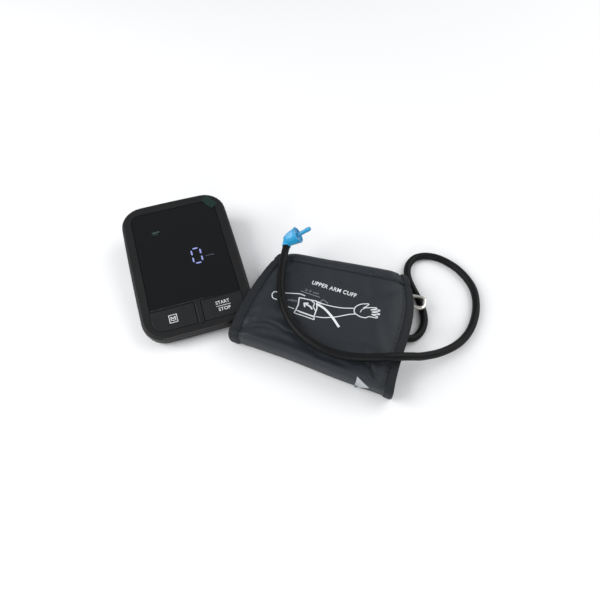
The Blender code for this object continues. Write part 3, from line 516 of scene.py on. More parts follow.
def cuff_plan(across, along):
    """Places in millimetres for arrays of shares across and along the cuff."""
    front_left, front_right, back_right, back_left = (np.array(c) for c in CUFF_CORNERS)
    inside = np.clip(along, 0.0, 1.0)[..., None]
    share = along[..., None]
    left = front_left + (back_left - front_left) * share
    right = front_right + (back_right - front_right) * share
    outward = (right - left) / np.linalg.norm(right - left, axis=-1, keepdims=True)
    left = left - outward * LEFT_BULGE * 4 * inside * (1 - inside)
    right = right + outward * RIGHT_BULGE * np.sin(math.pi * inside ** RIGHT_SKEW)
    return left + (right - left) * across[..., None]


print("cuff", round(CUFF_WIDTH / MM), "by", round(CUFF_DEPTH / MM), "mm")

# %% [markdown]
# ## The cuff's cloth as one rule
# Seen from its open side, the folded cloth runs in a flat loop: along the table, round the
# front fold, over the top and down the back fold. A smooth closed line through a few points
# gives that section. Sweeping it across the plan makes the cloth, so one function places
# everything that lies on it: cloth, tapes, seams and stitches. The function also lowers the
# bound edges, bows the front fold and adds slack, so the cloth is never flat.

# %% Section of the folded cloth
SECTION = (                         # share along the cuff, and height in millimetres
    (0.50, 0.3), (0.22, 0.3), (0.085, 0.5), (0.048, 2.2), (0.030, 7.0), (0.018, 14.5),
    (0.016, 20.8), (0.030, 24.5), (0.052, 25.3), (0.092, 24.7), (0.16, 24.8), (0.24, 25.3),
    (0.34, 25.6), (0.54, 25.7), (0.76, 25.7), (0.885, 25.5), (0.960, 24.6), (1.002, 21.0),
    (1.014, 14.5), (1.006, 7.5), (0.980, 2.2), (0.93, 0.4), (0.72, 0.3),
)
CLOTH_AROUND, CLOTH_ACROSS = 220, 120
section_line = smooth_line([(along * CUFF_DEPTH, height * MM, 0.0) for along, height in SECTION],
                           closed=True)
section_line = even_line(section_line + section_line[:1], CUFF_DEPTH / 400)
SECTION_LENGTH = sum((b - a).length for a, b in zip(section_line, section_line[1:]))
section_table = np.array([(p.x / CUFF_DEPTH, p.y / MM) for p in section_line])
FULL_HEIGHT, HEM_HEIGHT = 26.2, 20.3    # of the cloth in its middle and at its bound edges
HEM_RISE = 0.15                     # share of the width over which it climbs to full height
LEFT_START, RIGHT_STOP = 0.085, 0.95    # where the lower layer begins and ends
SEAM_ALONG = 0.895                  # the seam near the back fold
EDGE_SEAMS = (0.066, 0.945)         # the seams beside the tapes, in shares across
FRONT_BOW = 0.024                   # how far the front fold leans out towards the right


def step_up(value, low, high):
    """Smoothly from 0 at low to 1 at high."""
    t = np.clip((value - low) / (high - low), 0.0, 1.0)
    return t * t * (3 - 2 * t)


def section_at(around):
    """The section's share along the cuff and its height, for shares of the way round it."""
    index, stations = (around % 1.0) * (len(section_table) - 1), np.arange(len(section_table))
    return tuple(np.interp(index, stations, column) for column in section_table.T)


print("section", round(SECTION_LENGTH / MM), "mm round")


# %% Slack and wrinkles of the cloth
CREASES = (                         # from and to, in shares; depth and width in millimetres
    ((0.03, 0.215), (0.60, 0.175), 0.9, 5.0), ((0.52, 0.130), (0.97, 0.185), 0.8, 4.5),
    ((0.02, 0.03), (0.24, 0.24), 1.1, 4.0), ((0.975, 0.03), (0.80, 0.20), 1.3, 3.5),
    ((0.90, 0.02), (0.86, 0.12), 1.0, 2.6), ((0.30, 0.10), (0.44, 0.27), 0.6, 5.0),
    ((0.07, 0.52), (0.20, 0.80), 0.7, 5.0), ((0.66, 0.90), (0.74, 0.66), 0.5, 6.0),
    ((0.93, 0.86), (0.70, 0.72), 0.7, 5.0), ((0.10, 0.88), (0.26, 0.70), 0.6, 5.0),
    ((0.42, 0.84), (0.50, 0.60), 0.4, 6.0), ((0.93, 0.30), (0.84, 0.55), 0.8, 4.5),
    ((0.12, 0.045), (0.42, 0.085), 0.9, 3.2), ((0.50, 0.050), (0.80, 0.030), 0.8, 3.0),
    ((0.09, 0.10), (0.30, 0.15), 0.8, 1.8), ((0.16, 0.21), (0.37, 0.13), 0.7, 1.7),
    ((0.30, 0.18), (0.50, 0.10), 0.7, 1.8), ((0.10, 0.16), (0.15, 0.36), 0.7, 1.8),
    ((0.88, 0.09), (0.82, 0.23), 0.9, 1.8), ((0.91, 0.21), (0.78, 0.27), 0.7, 1.7),
    ((0.62, 0.11), (0.74, 0.17), 0.6, 1.7),
)


def crease_rise(across, along):
    """Soft valleys with a swell on one side, along the crease lines, in millimetres."""
    size = np.array([CUFF_WIDTH, CUFF_DEPTH]) / MM
    spot = np.stack([across * size[0], along * size[1]], axis=-1)
    total = np.zeros(across.shape)
    for start_share, stop_share, depth, width in CREASES:
        start_spot, run = np.array(start_share) * size, (np.array(stop_share) - start_share) * size
        length = np.linalg.norm(run)
        way = run / length
        reach = (spot - start_spot) @ way
        bend = 0.10 * length * np.sin(np.clip(reach / length, 0, 1) * math.pi)
        aside = (spot - start_spot) @ np.array([-way[1], way[0]]) - bend
        fade = step_up(reach, -width, length * 0.25) * step_up(length - reach, -width, length * 0.4)
        total += fade * depth * (0.6 * np.exp(-((aside - 1.5 * width) / width) ** 2)
                                 - np.exp(-(aside / width) ** 2))
    return total


def ridge(value, middle, width):
    """A smooth ridge of height 1 about a middle."""
    return np.exp(-((value - middle) / width) ** 2)


def cloth_slack(across, along, height):
    """How far the cloth stands out from its rule, in millimetres; nothing near the table."""
    top = step_up(height, 14.0, 22.0)
    sweep = [0.55 * noise.noise(Vector((a * 2.6 + b * 1.1, b * 2.8 - a * 0.9, 3.0)))
             + 0.20 * noise.noise(Vector((a * 11.0 + b * 4.0, b * 8.0 - a * 3.0, 5.0)))
             + 0.09 * noise.noise(Vector((a * 31.0, b * 24.0, 9.0)))
             for a, b in zip(across.ravel(), along.ravel())]
    rise = np.array(sweep).reshape(across.shape) + crease_rise(across, along) * (0.35 + 0.65 * top)
    puckers = np.sin(across * math.tau * 34 + 2.2 * np.sin(across * 23))
    doubled = step_up(along, SEAM_ALONG, SEAM_ALONG + 0.02) * top
    rise = (rise - 1.5 * ridge(along, SEAM_ALONG, 0.009) * top
            + 0.22 * ridge(along, SEAM_ALONG, 0.036) * top * puckers + 0.6 * doubled)
    for edge in EDGE_SEAMS:
        rise = rise - 0.8 * ridge(across, edge, 0.009) + (
            0.17 * ridge(across, edge, 0.030) * np.sin(along * math.tau * 24 + 1.7))
    return np.minimum(rise, 0.75) * step_up(height, 2.0, 9.0)


def cloth_points(across_share, around_share, out=0.0, slack=True):
    """Points on the cloth in the row frame, and its outward normals, for two share arrays."""
    along, height = section_at(around_share)
    low_part = (1.0 - step_up(height, 5.0, 15.0)) * step_up(along, 0.14, 0.30)
    low, high = LEFT_START * low_part, 1.0 - (1.0 - RIGHT_STOP) * low_part
    across = low + (high - low) * across_share
    edge = np.minimum(step_up(across, -0.02, HEM_RISE), step_up(1.0 - across, -0.02, HEM_RISE))
    squeeze = (HEM_HEIGHT + (FULL_HEIGHT - HEM_HEIGHT) * edge) / FULL_HEIGHT
    bow = FRONT_BOW * step_up(across, 0.30, 0.75) * (1.0 - step_up(along, 0.0, 0.35))
    plan = cuff_plan(across, along - bow)
    points = np.dstack([plan[..., 0] * MM + SHIFT.x, plan[..., 1] * MM + SHIFT.y,
                        height * squeeze * MM])
    if slack:
        out = out + cloth_slack(across, along, height)
    around_way = np.roll(points, -1, axis=1) - np.roll(points, 1, axis=1)
    across_way = np.gradient(points, axis=0)
    normal = np.cross(across_way, around_way)
    normal /= np.maximum(np.linalg.norm(normal, axis=-1, keepdims=True), 1e-12)
    middle = points.mean(axis=(0, 1))
    if ((points - middle) * normal).sum() < 0:
        normal = -normal
    return points + normal * np.expand_dims(out, -1) * MM, normal


around_shares = np.arange(CLOTH_AROUND) / CLOTH_AROUND
grid_across, grid_around = np.meshgrid(np.linspace(0.0, 1.0, CLOTH_ACROSS + 1), around_shares,
                                       indexing="ij")
shell_points = cloth_points(grid_across, grid_around)[0]
print("cloth height", round(float(shell_points[..., 2].max()) / MM, 1), "mm")


# %% Cloth from a grid of points
CLOTH_TOP = 18 * MM                 # faces above this look up


def grid_cloth(name, points, across_run, thickness, finish, rounding=0.0):
    """A looped cloth of the given thickness, with a UV map in metres."""
    rows, columns = points.shape[:2]
    cells = [((i, j), (i + 1, j), (i + 1, j + 1), (i, j + 1))
             for i in range(rows - 1) for j in range(columns)]
    piece = as_piece(name, points.reshape(-1, 3),
                     [[i * columns + j % columns for i, j in cell] for cell in cells])
    give_uv(piece, [(i / (rows - 1) * across_run, j / columns * SECTION_LENGTH)
                    for cell in cells for i, j in cell])
    bm = bmesh.new()
    bm.from_mesh(piece.data)
    if sum(face.normal.z for face in bm.faces if face.calc_center_median().z > CLOTH_TOP) < 0:
        bmesh.ops.reverse_faces(bm, faces=bm.faces)
    bm.to_mesh(piece.data)
    bm.free()
    wall = piece.modifiers.new("wall", "SOLIDIFY")
    wall.thickness, wall.offset = thickness * MM, -1.0
    wall.use_even_offset = False
    if rounding:
        edge = piece.modifiers.new("edge", "BEVEL")
        edge.width, edge.segments = rounding * MM, 3
        edge.limit_method, edge.angle_limit = "ANGLE", math.radians(SHARP_ANGLE)
    done = settled(piece, outward=False)
    done.data.materials.append(finish)
    return done


CLOTH_THICKNESS, LINING_THICKNESS, LINING_DEPTH = 1.5, 0.9, 3.2
cuff_cloth = grid_cloth("cuff_cloth", shell_points, CUFF_WIDTH, CLOTH_THICKNESS, nylon_finish)
inner_across, inner_around = np.meshgrid(np.linspace(0.03, 0.955, 60), around_shares[::2],
                                         indexing="ij")
inner_points = cloth_points(inner_across, inner_around, out=-LINING_DEPTH, slack=False)[0]
cuff_lining = grid_cloth("cuff_lining", inner_points, CUFF_WIDTH, LINING_THICKNESS, lining_finish)
print("cuff cloth", len(cuff_cloth.data.polygons), "faces")

# %% [markdown]
# ## Binding tapes
# A woven tape is folded over each open edge of the cuff and sewn down. It is the same rule
# again, over a narrow strip and a little proud of the cloth, thick enough to hold the edge.
# Its outline swells in the middle, as a folded tape does.

# %% Binding tapes
TAPE_WIDTH, TAPE_THICKNESS = 0.058, 2.3     # share of the cuff's width, and millimetres
TAPE_STATIONS, RIPPLES = 11, 62


def binding(name, start_share, stop_share):
    """A tape over the cuff's edge, between two shares of its width."""
    tape_across, tape_around = np.meshgrid(np.linspace(start_share, stop_share, TAPE_STATIONS),
                                           around_shares, indexing="ij")
    swell = (1.0 - np.abs(np.linspace(-1, 1, TAPE_STATIONS)) ** 4)[:, None]
    ripple = 0.10 * np.sin(tape_around * math.tau * RIPPLES + tape_across * 90)
    along, height = section_at(tape_around)
    points, normals = cloth_points(tape_across, tape_around, slack=False)
    out = (np.minimum(0.35 + 0.65 * swell + ripple * swell, 0.05 + step_up(height, 1.0, 4.0))
           + cloth_slack(tape_across, along, height) * 0.8)
    return grid_cloth(name, points + normals * out[..., None] * MM, TAPE_WIDTH * CUFF_WIDTH,
                      TAPE_THICKNESS, tape_finish, 0.5)


left_tape = binding("left_tape", -0.004, TAPE_WIDTH)
right_tape = binding("right_tape", 1.0 - TAPE_WIDTH * 0.82, 1.004)
print("tapes", len(left_tape.data.polygons) + len(right_tape.data.polygons), "faces")

# %% [markdown]
# ## What the cuff holds
# Between its layers lie a rubber bladder in a cloth sleeve, a soft flap and the strap that
# holds the wire ring. They only show from the open sides. The bladder is a crowned pillow,
# thin at its sealed rim, and the strap is a loop of tape round the ring's straight leg.

# %% Bladder and flap
PAD_CELLS = 36                      # along each side of a pad


def pillow(name, across_range, along_range, low, high, finish, rim=0.12):
    """A crowned closed pad between two heights, thin at its rim."""
    a = np.linspace(0, 1, PAD_CELLS + 1)
    share_a, share_b = np.meshgrid(a, a, indexing="ij")
    fullness = (np.clip(np.minimum(share_a, 1 - share_a) / rim, 0, 1)
                * np.clip(np.minimum(share_b, 1 - share_b) / rim, 0, 1))
    fullness = np.sqrt(np.clip(fullness * (2 - fullness), 0, 1))
    plan = cuff_plan(across_range[0] + (across_range[1] - across_range[0]) * share_a,
                     along_range[0] + (along_range[1] - along_range[0]) * share_b)
    wave = np.array([[noise.noise(Vector((x * 5, y * 5, 1.0))) for y in a] for x in a]) * 0.8
    points, faces = [], []
    for side in (1, -1):
        height = ((low + high) / 2 + side * (high - low) / 2 * (0.06 + 0.94 * fullness)
                  + wave * fullness * 0.6)
        points.append(np.dstack([plan[..., 0] * MM + SHIFT.x, plan[..., 1] * MM + SHIFT.y,
                                 height * MM]).reshape(-1, 3))
    row = PAD_CELLS + 1
    offset = row * row
    for i in range(PAD_CELLS):
        for j in range(PAD_CELLS):
            loop = (i * row + j, (i + 1) * row + j, (i + 1) * row + j + 1, i * row + j + 1)
            faces += [loop, tuple(offset + corner for corner in reversed(loop))]
    rim_loop = ([j for j in range(PAD_CELLS)] + [i * row + PAD_CELLS for i in range(PAD_CELLS)]
                + [PAD_CELLS * row + j for j in range(PAD_CELLS, 0, -1)]
                + [i * row for i in range(PAD_CELLS, 0, -1)])
    for first, second in zip(rim_loop, rim_loop[1:] + rim_loop[:1]):
        faces.append((first, second, offset + second, offset + first))
    piece = as_piece(name, np.vstack(points), faces)
    give_uv(piece, [piece.data.vertices[loop.vertex_index].co[:2] for loop in piece.data.loops])
    done = settled(piece)
    done.data.materials.append(finish)
    return done


bladder = pillow("bladder_pad", (0.085, 0.885), (0.085, 0.575), 8.8, 20.2, lining_finish)
flap = pillow("inner_flap", (0.09, 0.93), (0.085, 0.90), 4.2, 6.9, nylon_finish, rim=0.04)
print("bladder", len(bladder.data.polygons), "faces")

# %% Strap that holds the ring
RING_PLACE, RING_TURN = (143.8, 6.2, 11.0), math.radians(-31.0)
STRAP_START, STRAP_STOP, STRAP_STATIONS, STRAP_STEP = -57.0, 32.0, 60, 0.7
STRAP_OUTLINE = (                   # across the leg and height from its middle, millimetres
    (0.0, -2.9), (2.3, -2.2), (3.0, 0.0), (2.7, 3.0), (2.2, 6.0), (2.1, 9.0),
    (-2.1, 9.0), (-2.2, 6.0), (-2.7, 3.0), (-3.0, 0.0), (-2.3, -2.2),
)
strap_frame = Matrix.Translation(place(*RING_PLACE)) @ Matrix.Rotation(RING_TURN, 4, "Z")
strap_line = even_line(smooth_line([(0.0, y, z) for y, z in STRAP_OUTLINE], closed=True),
                       STRAP_STEP)
strap_stations = np.linspace(STRAP_START, STRAP_STOP, STRAP_STATIONS)
strap_points = [strap_frame @ (Vector((x, p.y * (1 + 0.05 * math.sin(x * 0.9)), p.z)) * MM)
                for x in strap_stations for p in strap_line]
count, last = len(strap_line), STRAP_STATIONS - 1
strap_faces = [(i * count + j, i * count + (j + 1) % count, (i + 1) * count + (j + 1) % count,
                (i + 1) * count + j) for i in range(last) for j in range(count)]
strap_faces += [tuple(reversed(range(count))), tuple(last * count + j for j in range(count))]
strap = as_piece("ring_strap", strap_points, strap_faces)
corners = [divmod(loop.vertex_index, count) for loop in strap.data.loops]
give_uv(strap, [(strap_stations[i] * MM, j * STRAP_STEP * MM) for i, j in corners])
strap = settled(strap)
strap.data.materials.append(tape_finish)
print("strap", len(strap.data.polygons), "faces")

# %% [markdown]
# ## Stitches
# Every seam is a row of short threads. A Geometry Nodes tree takes a line that lies on the
# cloth, sets points along it at an even pitch, and puts a small long bead on each, turned
# along the line. The tree is built once, and takes every seam's line in one curve.

# %% Stitch tree
stitch_tree = bpy.data.node_groups.new("stitch_run", "GeometryNodeTree")
for label, kind, value in (("Geometry", "NodeSocketGeometry", None),
                           ("Pitch", "NodeSocketFloat", 2.6 * MM),
                           ("Length", "NodeSocketFloat", 1.9 * MM),
                           ("Radius", "NodeSocketFloat", 0.22 * MM),
                           ("Finish", "NodeSocketMaterial", None)):
    socket = stitch_tree.interface.new_socket(name=label, in_out="INPUT", socket_type=kind)
    if value is not None:
        socket.default_value = value
stitch_tree.interface.new_socket(name="Geometry", in_out="OUTPUT",
                                 socket_type="NodeSocketGeometry")
given = stitch_tree.nodes.new("NodeGroupInput").outputs
spread = wire(stitch_tree, "GeometryNodeCurveToPoints", {"mode": "LENGTH"}, Curve=given["Geometry"],
              Length=given["Pitch"]).outputs
aimed = wire(stitch_tree, "FunctionNodeAlignRotationToVector", {"axis": "Z"},
             Vector=spread["Tangent"])
thread = wire(stitch_tree, "GeometryNodeMeshUVSphere", Segments=6, Rings=5,
              Radius=given["Radius"])
stretch = worked(stitch_tree, "MULTIPLY",
                 worked(stitch_tree, "DIVIDE", given["Length"], given["Radius"]), 0.5)
sizes = wire(stitch_tree, "ShaderNodeCombineXYZ", X=1.0, Y=1.0, Z=stretch)
placed = wire(stitch_tree, "GeometryNodeInstanceOnPoints", Points=spread["Points"],
              Instance=thread.outputs["Mesh"], Rotation=aimed.outputs["Rotation"],
              Scale=sizes.outputs[0])
real = wire(stitch_tree, "GeometryNodeRealizeInstances", Geometry=placed.outputs["Instances"])
painted = wire(stitch_tree, "GeometryNodeSetMaterial", Geometry=real.outputs["Geometry"],
               Material=given["Finish"])
fill(stitch_tree, stitch_tree.nodes.new("NodeGroupOutput"), Geometry=painted.outputs["Geometry"])
print("tree", stitch_tree.name)


# %% Rows of stitches on the cloth
STITCH_PITCH, STITCH_LENGTH, STITCH_RADIUS = 2.6 * MM, 1.8 * MM, 0.2 * MM
DROP_HEIGHT = 0.05                  # metres; a point is dropped onto the cloth from here


def stitched(name, lines):
    """Stitches along lines of points, as one mesh."""
    curve = bpy.data.curves.new(name, "CURVE")
    curve.dimensions = "3D"
    for line in lines:
        add_spline(curve, line)
    piece = linked(name, curve)
    sewing = piece.modifiers.new("sewing", "NODES")
    sewing.node_group = stitch_tree
    values = {"Pitch": STITCH_PITCH, "Length": STITCH_LENGTH, "Radius": STITCH_RADIUS,
              "Finish": shaded_thread_finish}
    for item in stitch_tree.interface.items_tree:
        if item.in_out == "INPUT" and item.name in values:
            sewing[item.identifier] = values[item.name]
    done = settled(piece, sharp=80)
    if not done.data.materials:
        done.data.materials.append(shaded_thread_finish)
    return done


all_trees = [BVHTree.FromPolygons([tuple(v.co) for v in piece.data.vertices],
                                  [tuple(f.vertices) for f in piece.data.polygons])
             for piece in (cuff_cloth, left_tape, right_tape)]


def laid_on(points, lift):
    """Points dropped from above onto the cloth and the tapes, and lifted off them."""
    laid = []
    for point in points:
        best = None
        for tree in all_trees:
            hit, normal, *_ = tree.ray_cast(Vector((point[0], point[1], DROP_HEIGHT)),
                                            Vector((0, 0, -1)))
            if hit is not None and (best is None or hit.z > best[0].z):
                best = (hit, normal if normal.z > 0 else -normal)
        if best:
            laid.append(best[0] + best[1] * lift * MM)
    return laid


def seam_line(start, stop, count=160):
    """A straight line over the cuff, from one pair of shares across and along it to another."""
    shares = [(start[0] + (stop[0] - start[0]) * i / count,
               start[1] + (stop[1] - start[1]) * i / count) for i in range(count + 1)]
    spots = cuff_plan(*np.array(shares).T)
    return laid_on([(x * MM + SHIFT.x, y * MM + SHIFT.y) for x, y in spots], 0.12)


SEAM_STOPS = (0.03, 0.965)
seam_lines = [seam_line((0.060, SEAM_ALONG), (0.952, SEAM_ALONG))]
seam_lines += [seam_line(*((across, along) for along in SEAM_STOPS))
               for across in (0.051, 0.9585, 0.938)]
stitches = stitched("cuff_stitches", seam_lines)
print("stitches", len(stitches.data.polygons), "faces")

# %% [markdown]
# ## Prints on the cuff
# The panel carries a plain line drawing of an arm that wears the cuff, a few generic words
# and a light triangle on the front fold. Each stroke is a thin flat ribbon of ink. Its line
# is drawn in the plan and dropped onto the cloth, so it follows every wrinkle.

# %% Ink
ink_finish = moulded("white_ink", (0.72, 0.74, 0.75), 0.55, scale=700.0, wear=0.55, lift=0.55,
                     spread=0.2, dust=0.0, bump=0.4)
faint_ink = moulded("faint_ink", (0.24, 0.26, 0.28), 0.6, scale=700.0, wear=0.5, lift=0.6,
                    dust=0.0)
STROKE_STEP = 0.6 * MM
triangle_ink = moulded("triangle_ink", (0.36, 0.38, 0.39), 0.5, scale=500.0, wear=0.5, lift=0.75,
                       dust=0.0)


def ribbon_parts(line, width, lift=0.10, thickness=0.08):
    """Points and faces of a flat band along a line that lies on the cloth."""
    spots = laid_on(line, lift)
    points, faces = [], []
    for index, spot in enumerate(spots):
        before, after = spots[max(index - 1, 0)], spots[min(index + 1, len(spots) - 1)]
        heading = (after - before).normalized()
        side = heading.cross(Vector((0, 0, 1))).normalized() * width / 2 * MM
        drop = Vector((0, 0, -thickness * MM))
        points += [spot + side, spot - side, spot - side + drop, spot + side + drop]
    for index in range(len(spots) - 1):
        a, b = index * 4, index * 4 + 4
        faces += [(a + k, a + (k + 1) % 4, b + (k + 1) % 4, b + k) for k in range(4)]
    last = len(points) - 4
    return points, faces + [(3, 2, 1, 0), (last, last + 1, last + 2, last + 3)]


def ribbons(name, strokes, finish):
    """One mesh of many ink strokes, each (points in millimetres, width, curved)."""
    points, faces = [], []
    for spots, width, curved in strokes:
        line = [place(*spot) for spot in spots]
        line = smooth_line(line) if curved else line
        more, loops = ribbon_parts(even_line(line, STROKE_STEP), width)
        faces += [tuple(corner + len(points) for corner in loop) for loop in loops]
        points += more
    piece = settled(as_piece(name, points, faces))
    piece.data.materials.append(finish)
    return piece


print("ink ready")

# %% The drawing of the arm
LINE, THIN = 0.85, 0.6              # widths of the strokes, millimetres
ARM_STROKES = (
    (((72.5, 9.6), (69.7, 11.1), (66.8, 8.9), (66.4, 5.0), (69.3, 2.0)), LINE, True),
    (((74.8, 8.2), (83.4, 4.6), (90.6, 1.5), (94.3, -2.0)), LINE, True),
    (((71.5, -1.5), (74.0, -6.0), (80.6, -12.2)), LINE, True),
    (((81.6, -13.9), (85.6, -9.0), (88.7, -2.2), (102.4, -10.8), (99.6, -18.4), (94.5, -25.4),
      (81.6, -13.9)), 1.0, False),
    (((81.6, -13.9), (79.3, -16.4), (93.6, -28.6), (94.5, -25.4)), LINE, False),
    (((95.6, -17.6), (94.6, -14.0), (91.8, -10.6)), 1.5, True),
    (((90.2, -13.4), (90.8, -9.2), (94.6, -10.6)), 1.3, False),
    (((83.6, -16.6), (94.0, -25.6)), THIN, False),
    (((97.6, -8.0), (99.8, -12.2), (97.4, -15.0), (97.8, -20.6)), LINE, False),
    (((103.0, -11.6), (108.7, -16.9), (119.3, -23.6), (131.2, -28.3)), LINE, True),
    (((95.6, -25.8), (103.2, -29.4), (113.9, -31.8), (123.0, -32.6), (130.0, -34.2)), LINE,
     True),
    (((131.2, -28.3), (134.0, -26.6), (138.6, -26.0), (144.9, -28.0), (141.6, -29.7),
      (138.6, -30.4)), LINE, True),
    (((131.2, -28.3), (129.6, -31.4), (130.0, -34.2), (132.6, -38.0), (136.6, -40.6)), LINE,
     True),
    (((138.6, -30.4), (143.6, -31.6), (148.8, -33.4), (149.6, -34.6), (144.0, -34.2)), LINE,
     True),
    (((144.0, -34.2), (150.4, -36.4), (150.9, -37.8), (144.2, -36.6)), LINE, True),
    (((144.2, -36.6), (149.2, -39.8), (149.0, -41.2), (143.0, -38.6)), LINE, True),
    (((143.0, -38.6), (146.6, -42.6), (145.4, -43.6), (140.4, -40.4), (136.6, -40.6)), LINE,
     True),
    (((134.4, -33.8), (136.8, -31.6), (139.4, -31.2)), THIN, True),
    (((101.0, -13.0), (105.9, -20.2), (109.3, -30.6), (111.4, -42.2)), 2.1, True),
    (((102.6, -11.8), (104.9, -15.0)), THIN, False),
)
arm_print = ribbons("arm_drawing", ARM_STROKES, ink_finish)
scale_print = ribbons("distance_marks", (
    (((92.4, 4.4), (106.2, -7.6)), 0.5, False),
    (((103.9, -12.6), (108.2, -10.8), (110.9, -15.9)), 0.6, False),
), faint_ink)
print("arm drawing", len(arm_print.data.polygons), "faces")


# %% Words
BOLD = 0.016
FINEST = 0.002 * MM                 # corners of letters closer than this are joined


def lettering(name, words, finish, transform, height, width, thickness=0.05, drop=False,
              bold=0.0, spacing=1.0):
    """Words as one thin mesh, set by a transform, and dropped onto the cloth if asked."""
    curve = bpy.data.curves.new(name, "FONT")
    curve.body, curve.align_x, curve.align_y = words, "CENTER", "CENTER"
    curve.offset, curve.resolution_u, curve.space_character = bold, 3, spacing
    text = linked(name, curve)
    graph = bpy.context.evaluated_depsgraph_get()
    mesh = bpy.data.meshes.new_from_object(text.evaluated_get(graph))
    bpy.data.objects.remove(text)
    spots = np.array([v.co for v in mesh.vertices])
    low, high = spots.min(0), spots.max(0)
    across, up = np.array((width, height)) / (high - low)[:2]
    middle = (low + high) / 2
    for vertex in mesh.vertices:
        x, y, _ = vertex.co
        vertex.co = transform @ (Vector(((x - middle[0]) * across, (y - middle[1]) * up, 0)) * MM)
    if drop:
        laid = laid_on([v.co for v in mesh.vertices], 0.10)
        for vertex, spot in zip(mesh.vertices, laid):
            vertex.co = spot
    piece = linked(name, mesh)
    bm = bmesh.new()
    bm.from_mesh(mesh)
    bmesh.ops.remove_doubles(bm, verts=bm.verts, dist=FINEST)
    bmesh.ops.dissolve_degenerate(bm, edges=bm.edges, dist=FINEST)
    for face in bm.faces:
        if face.normal.z < 0:
            face.normal_flip()
    bm.to_mesh(mesh)
    bm.free()
    wall = piece.modifiers.new("ink", "SOLIDIFY")
    wall.thickness, wall.offset = thickness * MM, 0.0
    done = settled(piece, outward=False)
    done.data.materials.clear()
    done.data.materials.append(finish)
    return done


def on_panel(x, y, turn):
    """A place over the cuff, turned by some degrees."""
    return Matrix.Translation(place(x, y)) @ Matrix.Rotation(math.radians(turn), 4, "Z")


title_print = lettering("cuff_words", "UPPER ARM CUFF", ink_finish, on_panel(121.6, -2.8, -39.7),
                        4.4, 42.0, drop=True, bold=BOLD, spacing=1.08)
distance_print = lettering("distance_words", "2-3 cm", faint_ink, on_panel(101.6, 0.6, -39.7),
                           2.2, 13.0, drop=True)
side_print = lettering("arm_words", "ARM", faint_ink, on_panel(81.6, -3.0, -30.0), 2.2, 8.0,
                       drop=True)
print("words set")

# %% The triangle on the front fold
TRIANGLE = ((109.8, -87.4, 21.0), (118.0, -96.2, 11.0), (107.5, -91.6, 8.0))
PRINT_WAY = Vector((0.179, 0.545, -0.819))      # the way the ink is pressed on
PRINT_REACH, PRINT_LIFT, PRINT_THICKNESS = 30 * MM, 0.2 * MM, 0.1 * MM
PRINT_CELLS = 20                    # along each side of the triangle


def folded_triangle():
    """A triangle of ink pressed onto the front fold."""
    a, b, c = (Vector(corner) for corner in TRIANGLE)
    points, index, faces = [], {}, []
    for i in range(PRINT_CELLS + 1):
        for j in range(PRINT_CELLS + 1 - i):
            spot = place(*(a + (b - a) * (i / PRINT_CELLS) + (c - a) * (j / PRINT_CELLS)))
            hit = all_trees[0].ray_cast(spot - PRINT_WAY * PRINT_REACH, PRINT_WAY)[0]
            index[i, j] = len(points)
            points.append((spot if hit is None else hit) - PRINT_WAY * PRINT_LIFT)
    for i in range(PRINT_CELLS):
        for j in range(PRINT_CELLS - i):
            faces.append((index[i, j], index[i + 1, j], index[i, j + 1]))
            if i + j < PRINT_CELLS - 1:
                faces.append((index[i + 1, j], index[i + 1, j + 1], index[i, j + 1]))
    piece = as_piece("fold_triangle", points, faces)
    wall = piece.modifiers.new("ink", "SOLIDIFY")
    wall.thickness, wall.offset = PRINT_THICKNESS, 0.0
    done = settled(piece)
    done.data.materials.append(triangle_ink)
    return done


triangle_print = folded_triangle()
print("triangle", len(triangle_print.data.polygons), "faces")

# %% [markdown]
# ## Marks on the console
# Both buttons carry a white mark, a stored-readings sign and two plain words with a line
# between. Behind the window glow a seven-segment nought with its unit and a small green
# sign. They are thin shapes that lie on the deck, placed in the deck's own frame.

# %% Flat shapes on the deck
def deck_shape(name, outlines, finish, lift, thickness=0.04):
    """Thin plates from closed outlines in deck millimetres, as one mesh."""
    bm = bmesh.new()
    for outline in outlines:
        face = bm.faces.new([bm.verts.new(on_deck(x, y, lift)) for x, y in outline])
        grown = bmesh.ops.extrude_face_region(bm, geom=[face])["geom"]
        risen = [item for item in grown if isinstance(item, bmesh.types.BMVert)]
        bmesh.ops.translate(bm, verts=risen,
                            vec=DECK.to_3x3() @ Vector((0, 0, thickness * MM)))
    bmesh.ops.recalc_face_normals(bm, faces=bm.faces)
    mesh = bpy.data.meshes.new(name)
    bm.to_mesh(mesh)
    bm.free()
    mesh.materials.append(finish)
    return linked(name, mesh)


def bar(start, stop, width, point=0.0):
    """A straight bar's outline, with pointed ends if asked."""
    a, b = Vector(start), Vector(stop)
    run = (b - a).normalized()
    side = Vector((-run.y, run.x)) * width / 2
    if not point:
        return [a - side, b - side, b + side, a + side]
    tip = run * point
    return [a, a + tip - side, b - tip - side, b, b - tip + side, a + tip + side]


def glow(name, colour, strength, edge):
    """A lit segment: brighter and dimmer patches, as an LED behind a dark window gives."""
    material, tree, body = shader(name, {"Emission Strength": strength, "Roughness": 0.4,
                                         "Base Color": (0.02, 0.02, 0.03, 1.0)})
    vector = tree.nodes.new("ShaderNodeTexCoord").outputs["Object"]
    fill(tree, body, Emission_Color=mixed(tree, mottled(tree, vector, 260.0, 2.0),
                                          colour + (1.0,), edge + (1.0,)))
    return material


def deck_frame(x, y, lift):
    """A frame on the deck, for words."""
    return DECK @ Matrix.Translation(Vector((x, y, lift)) * MM)


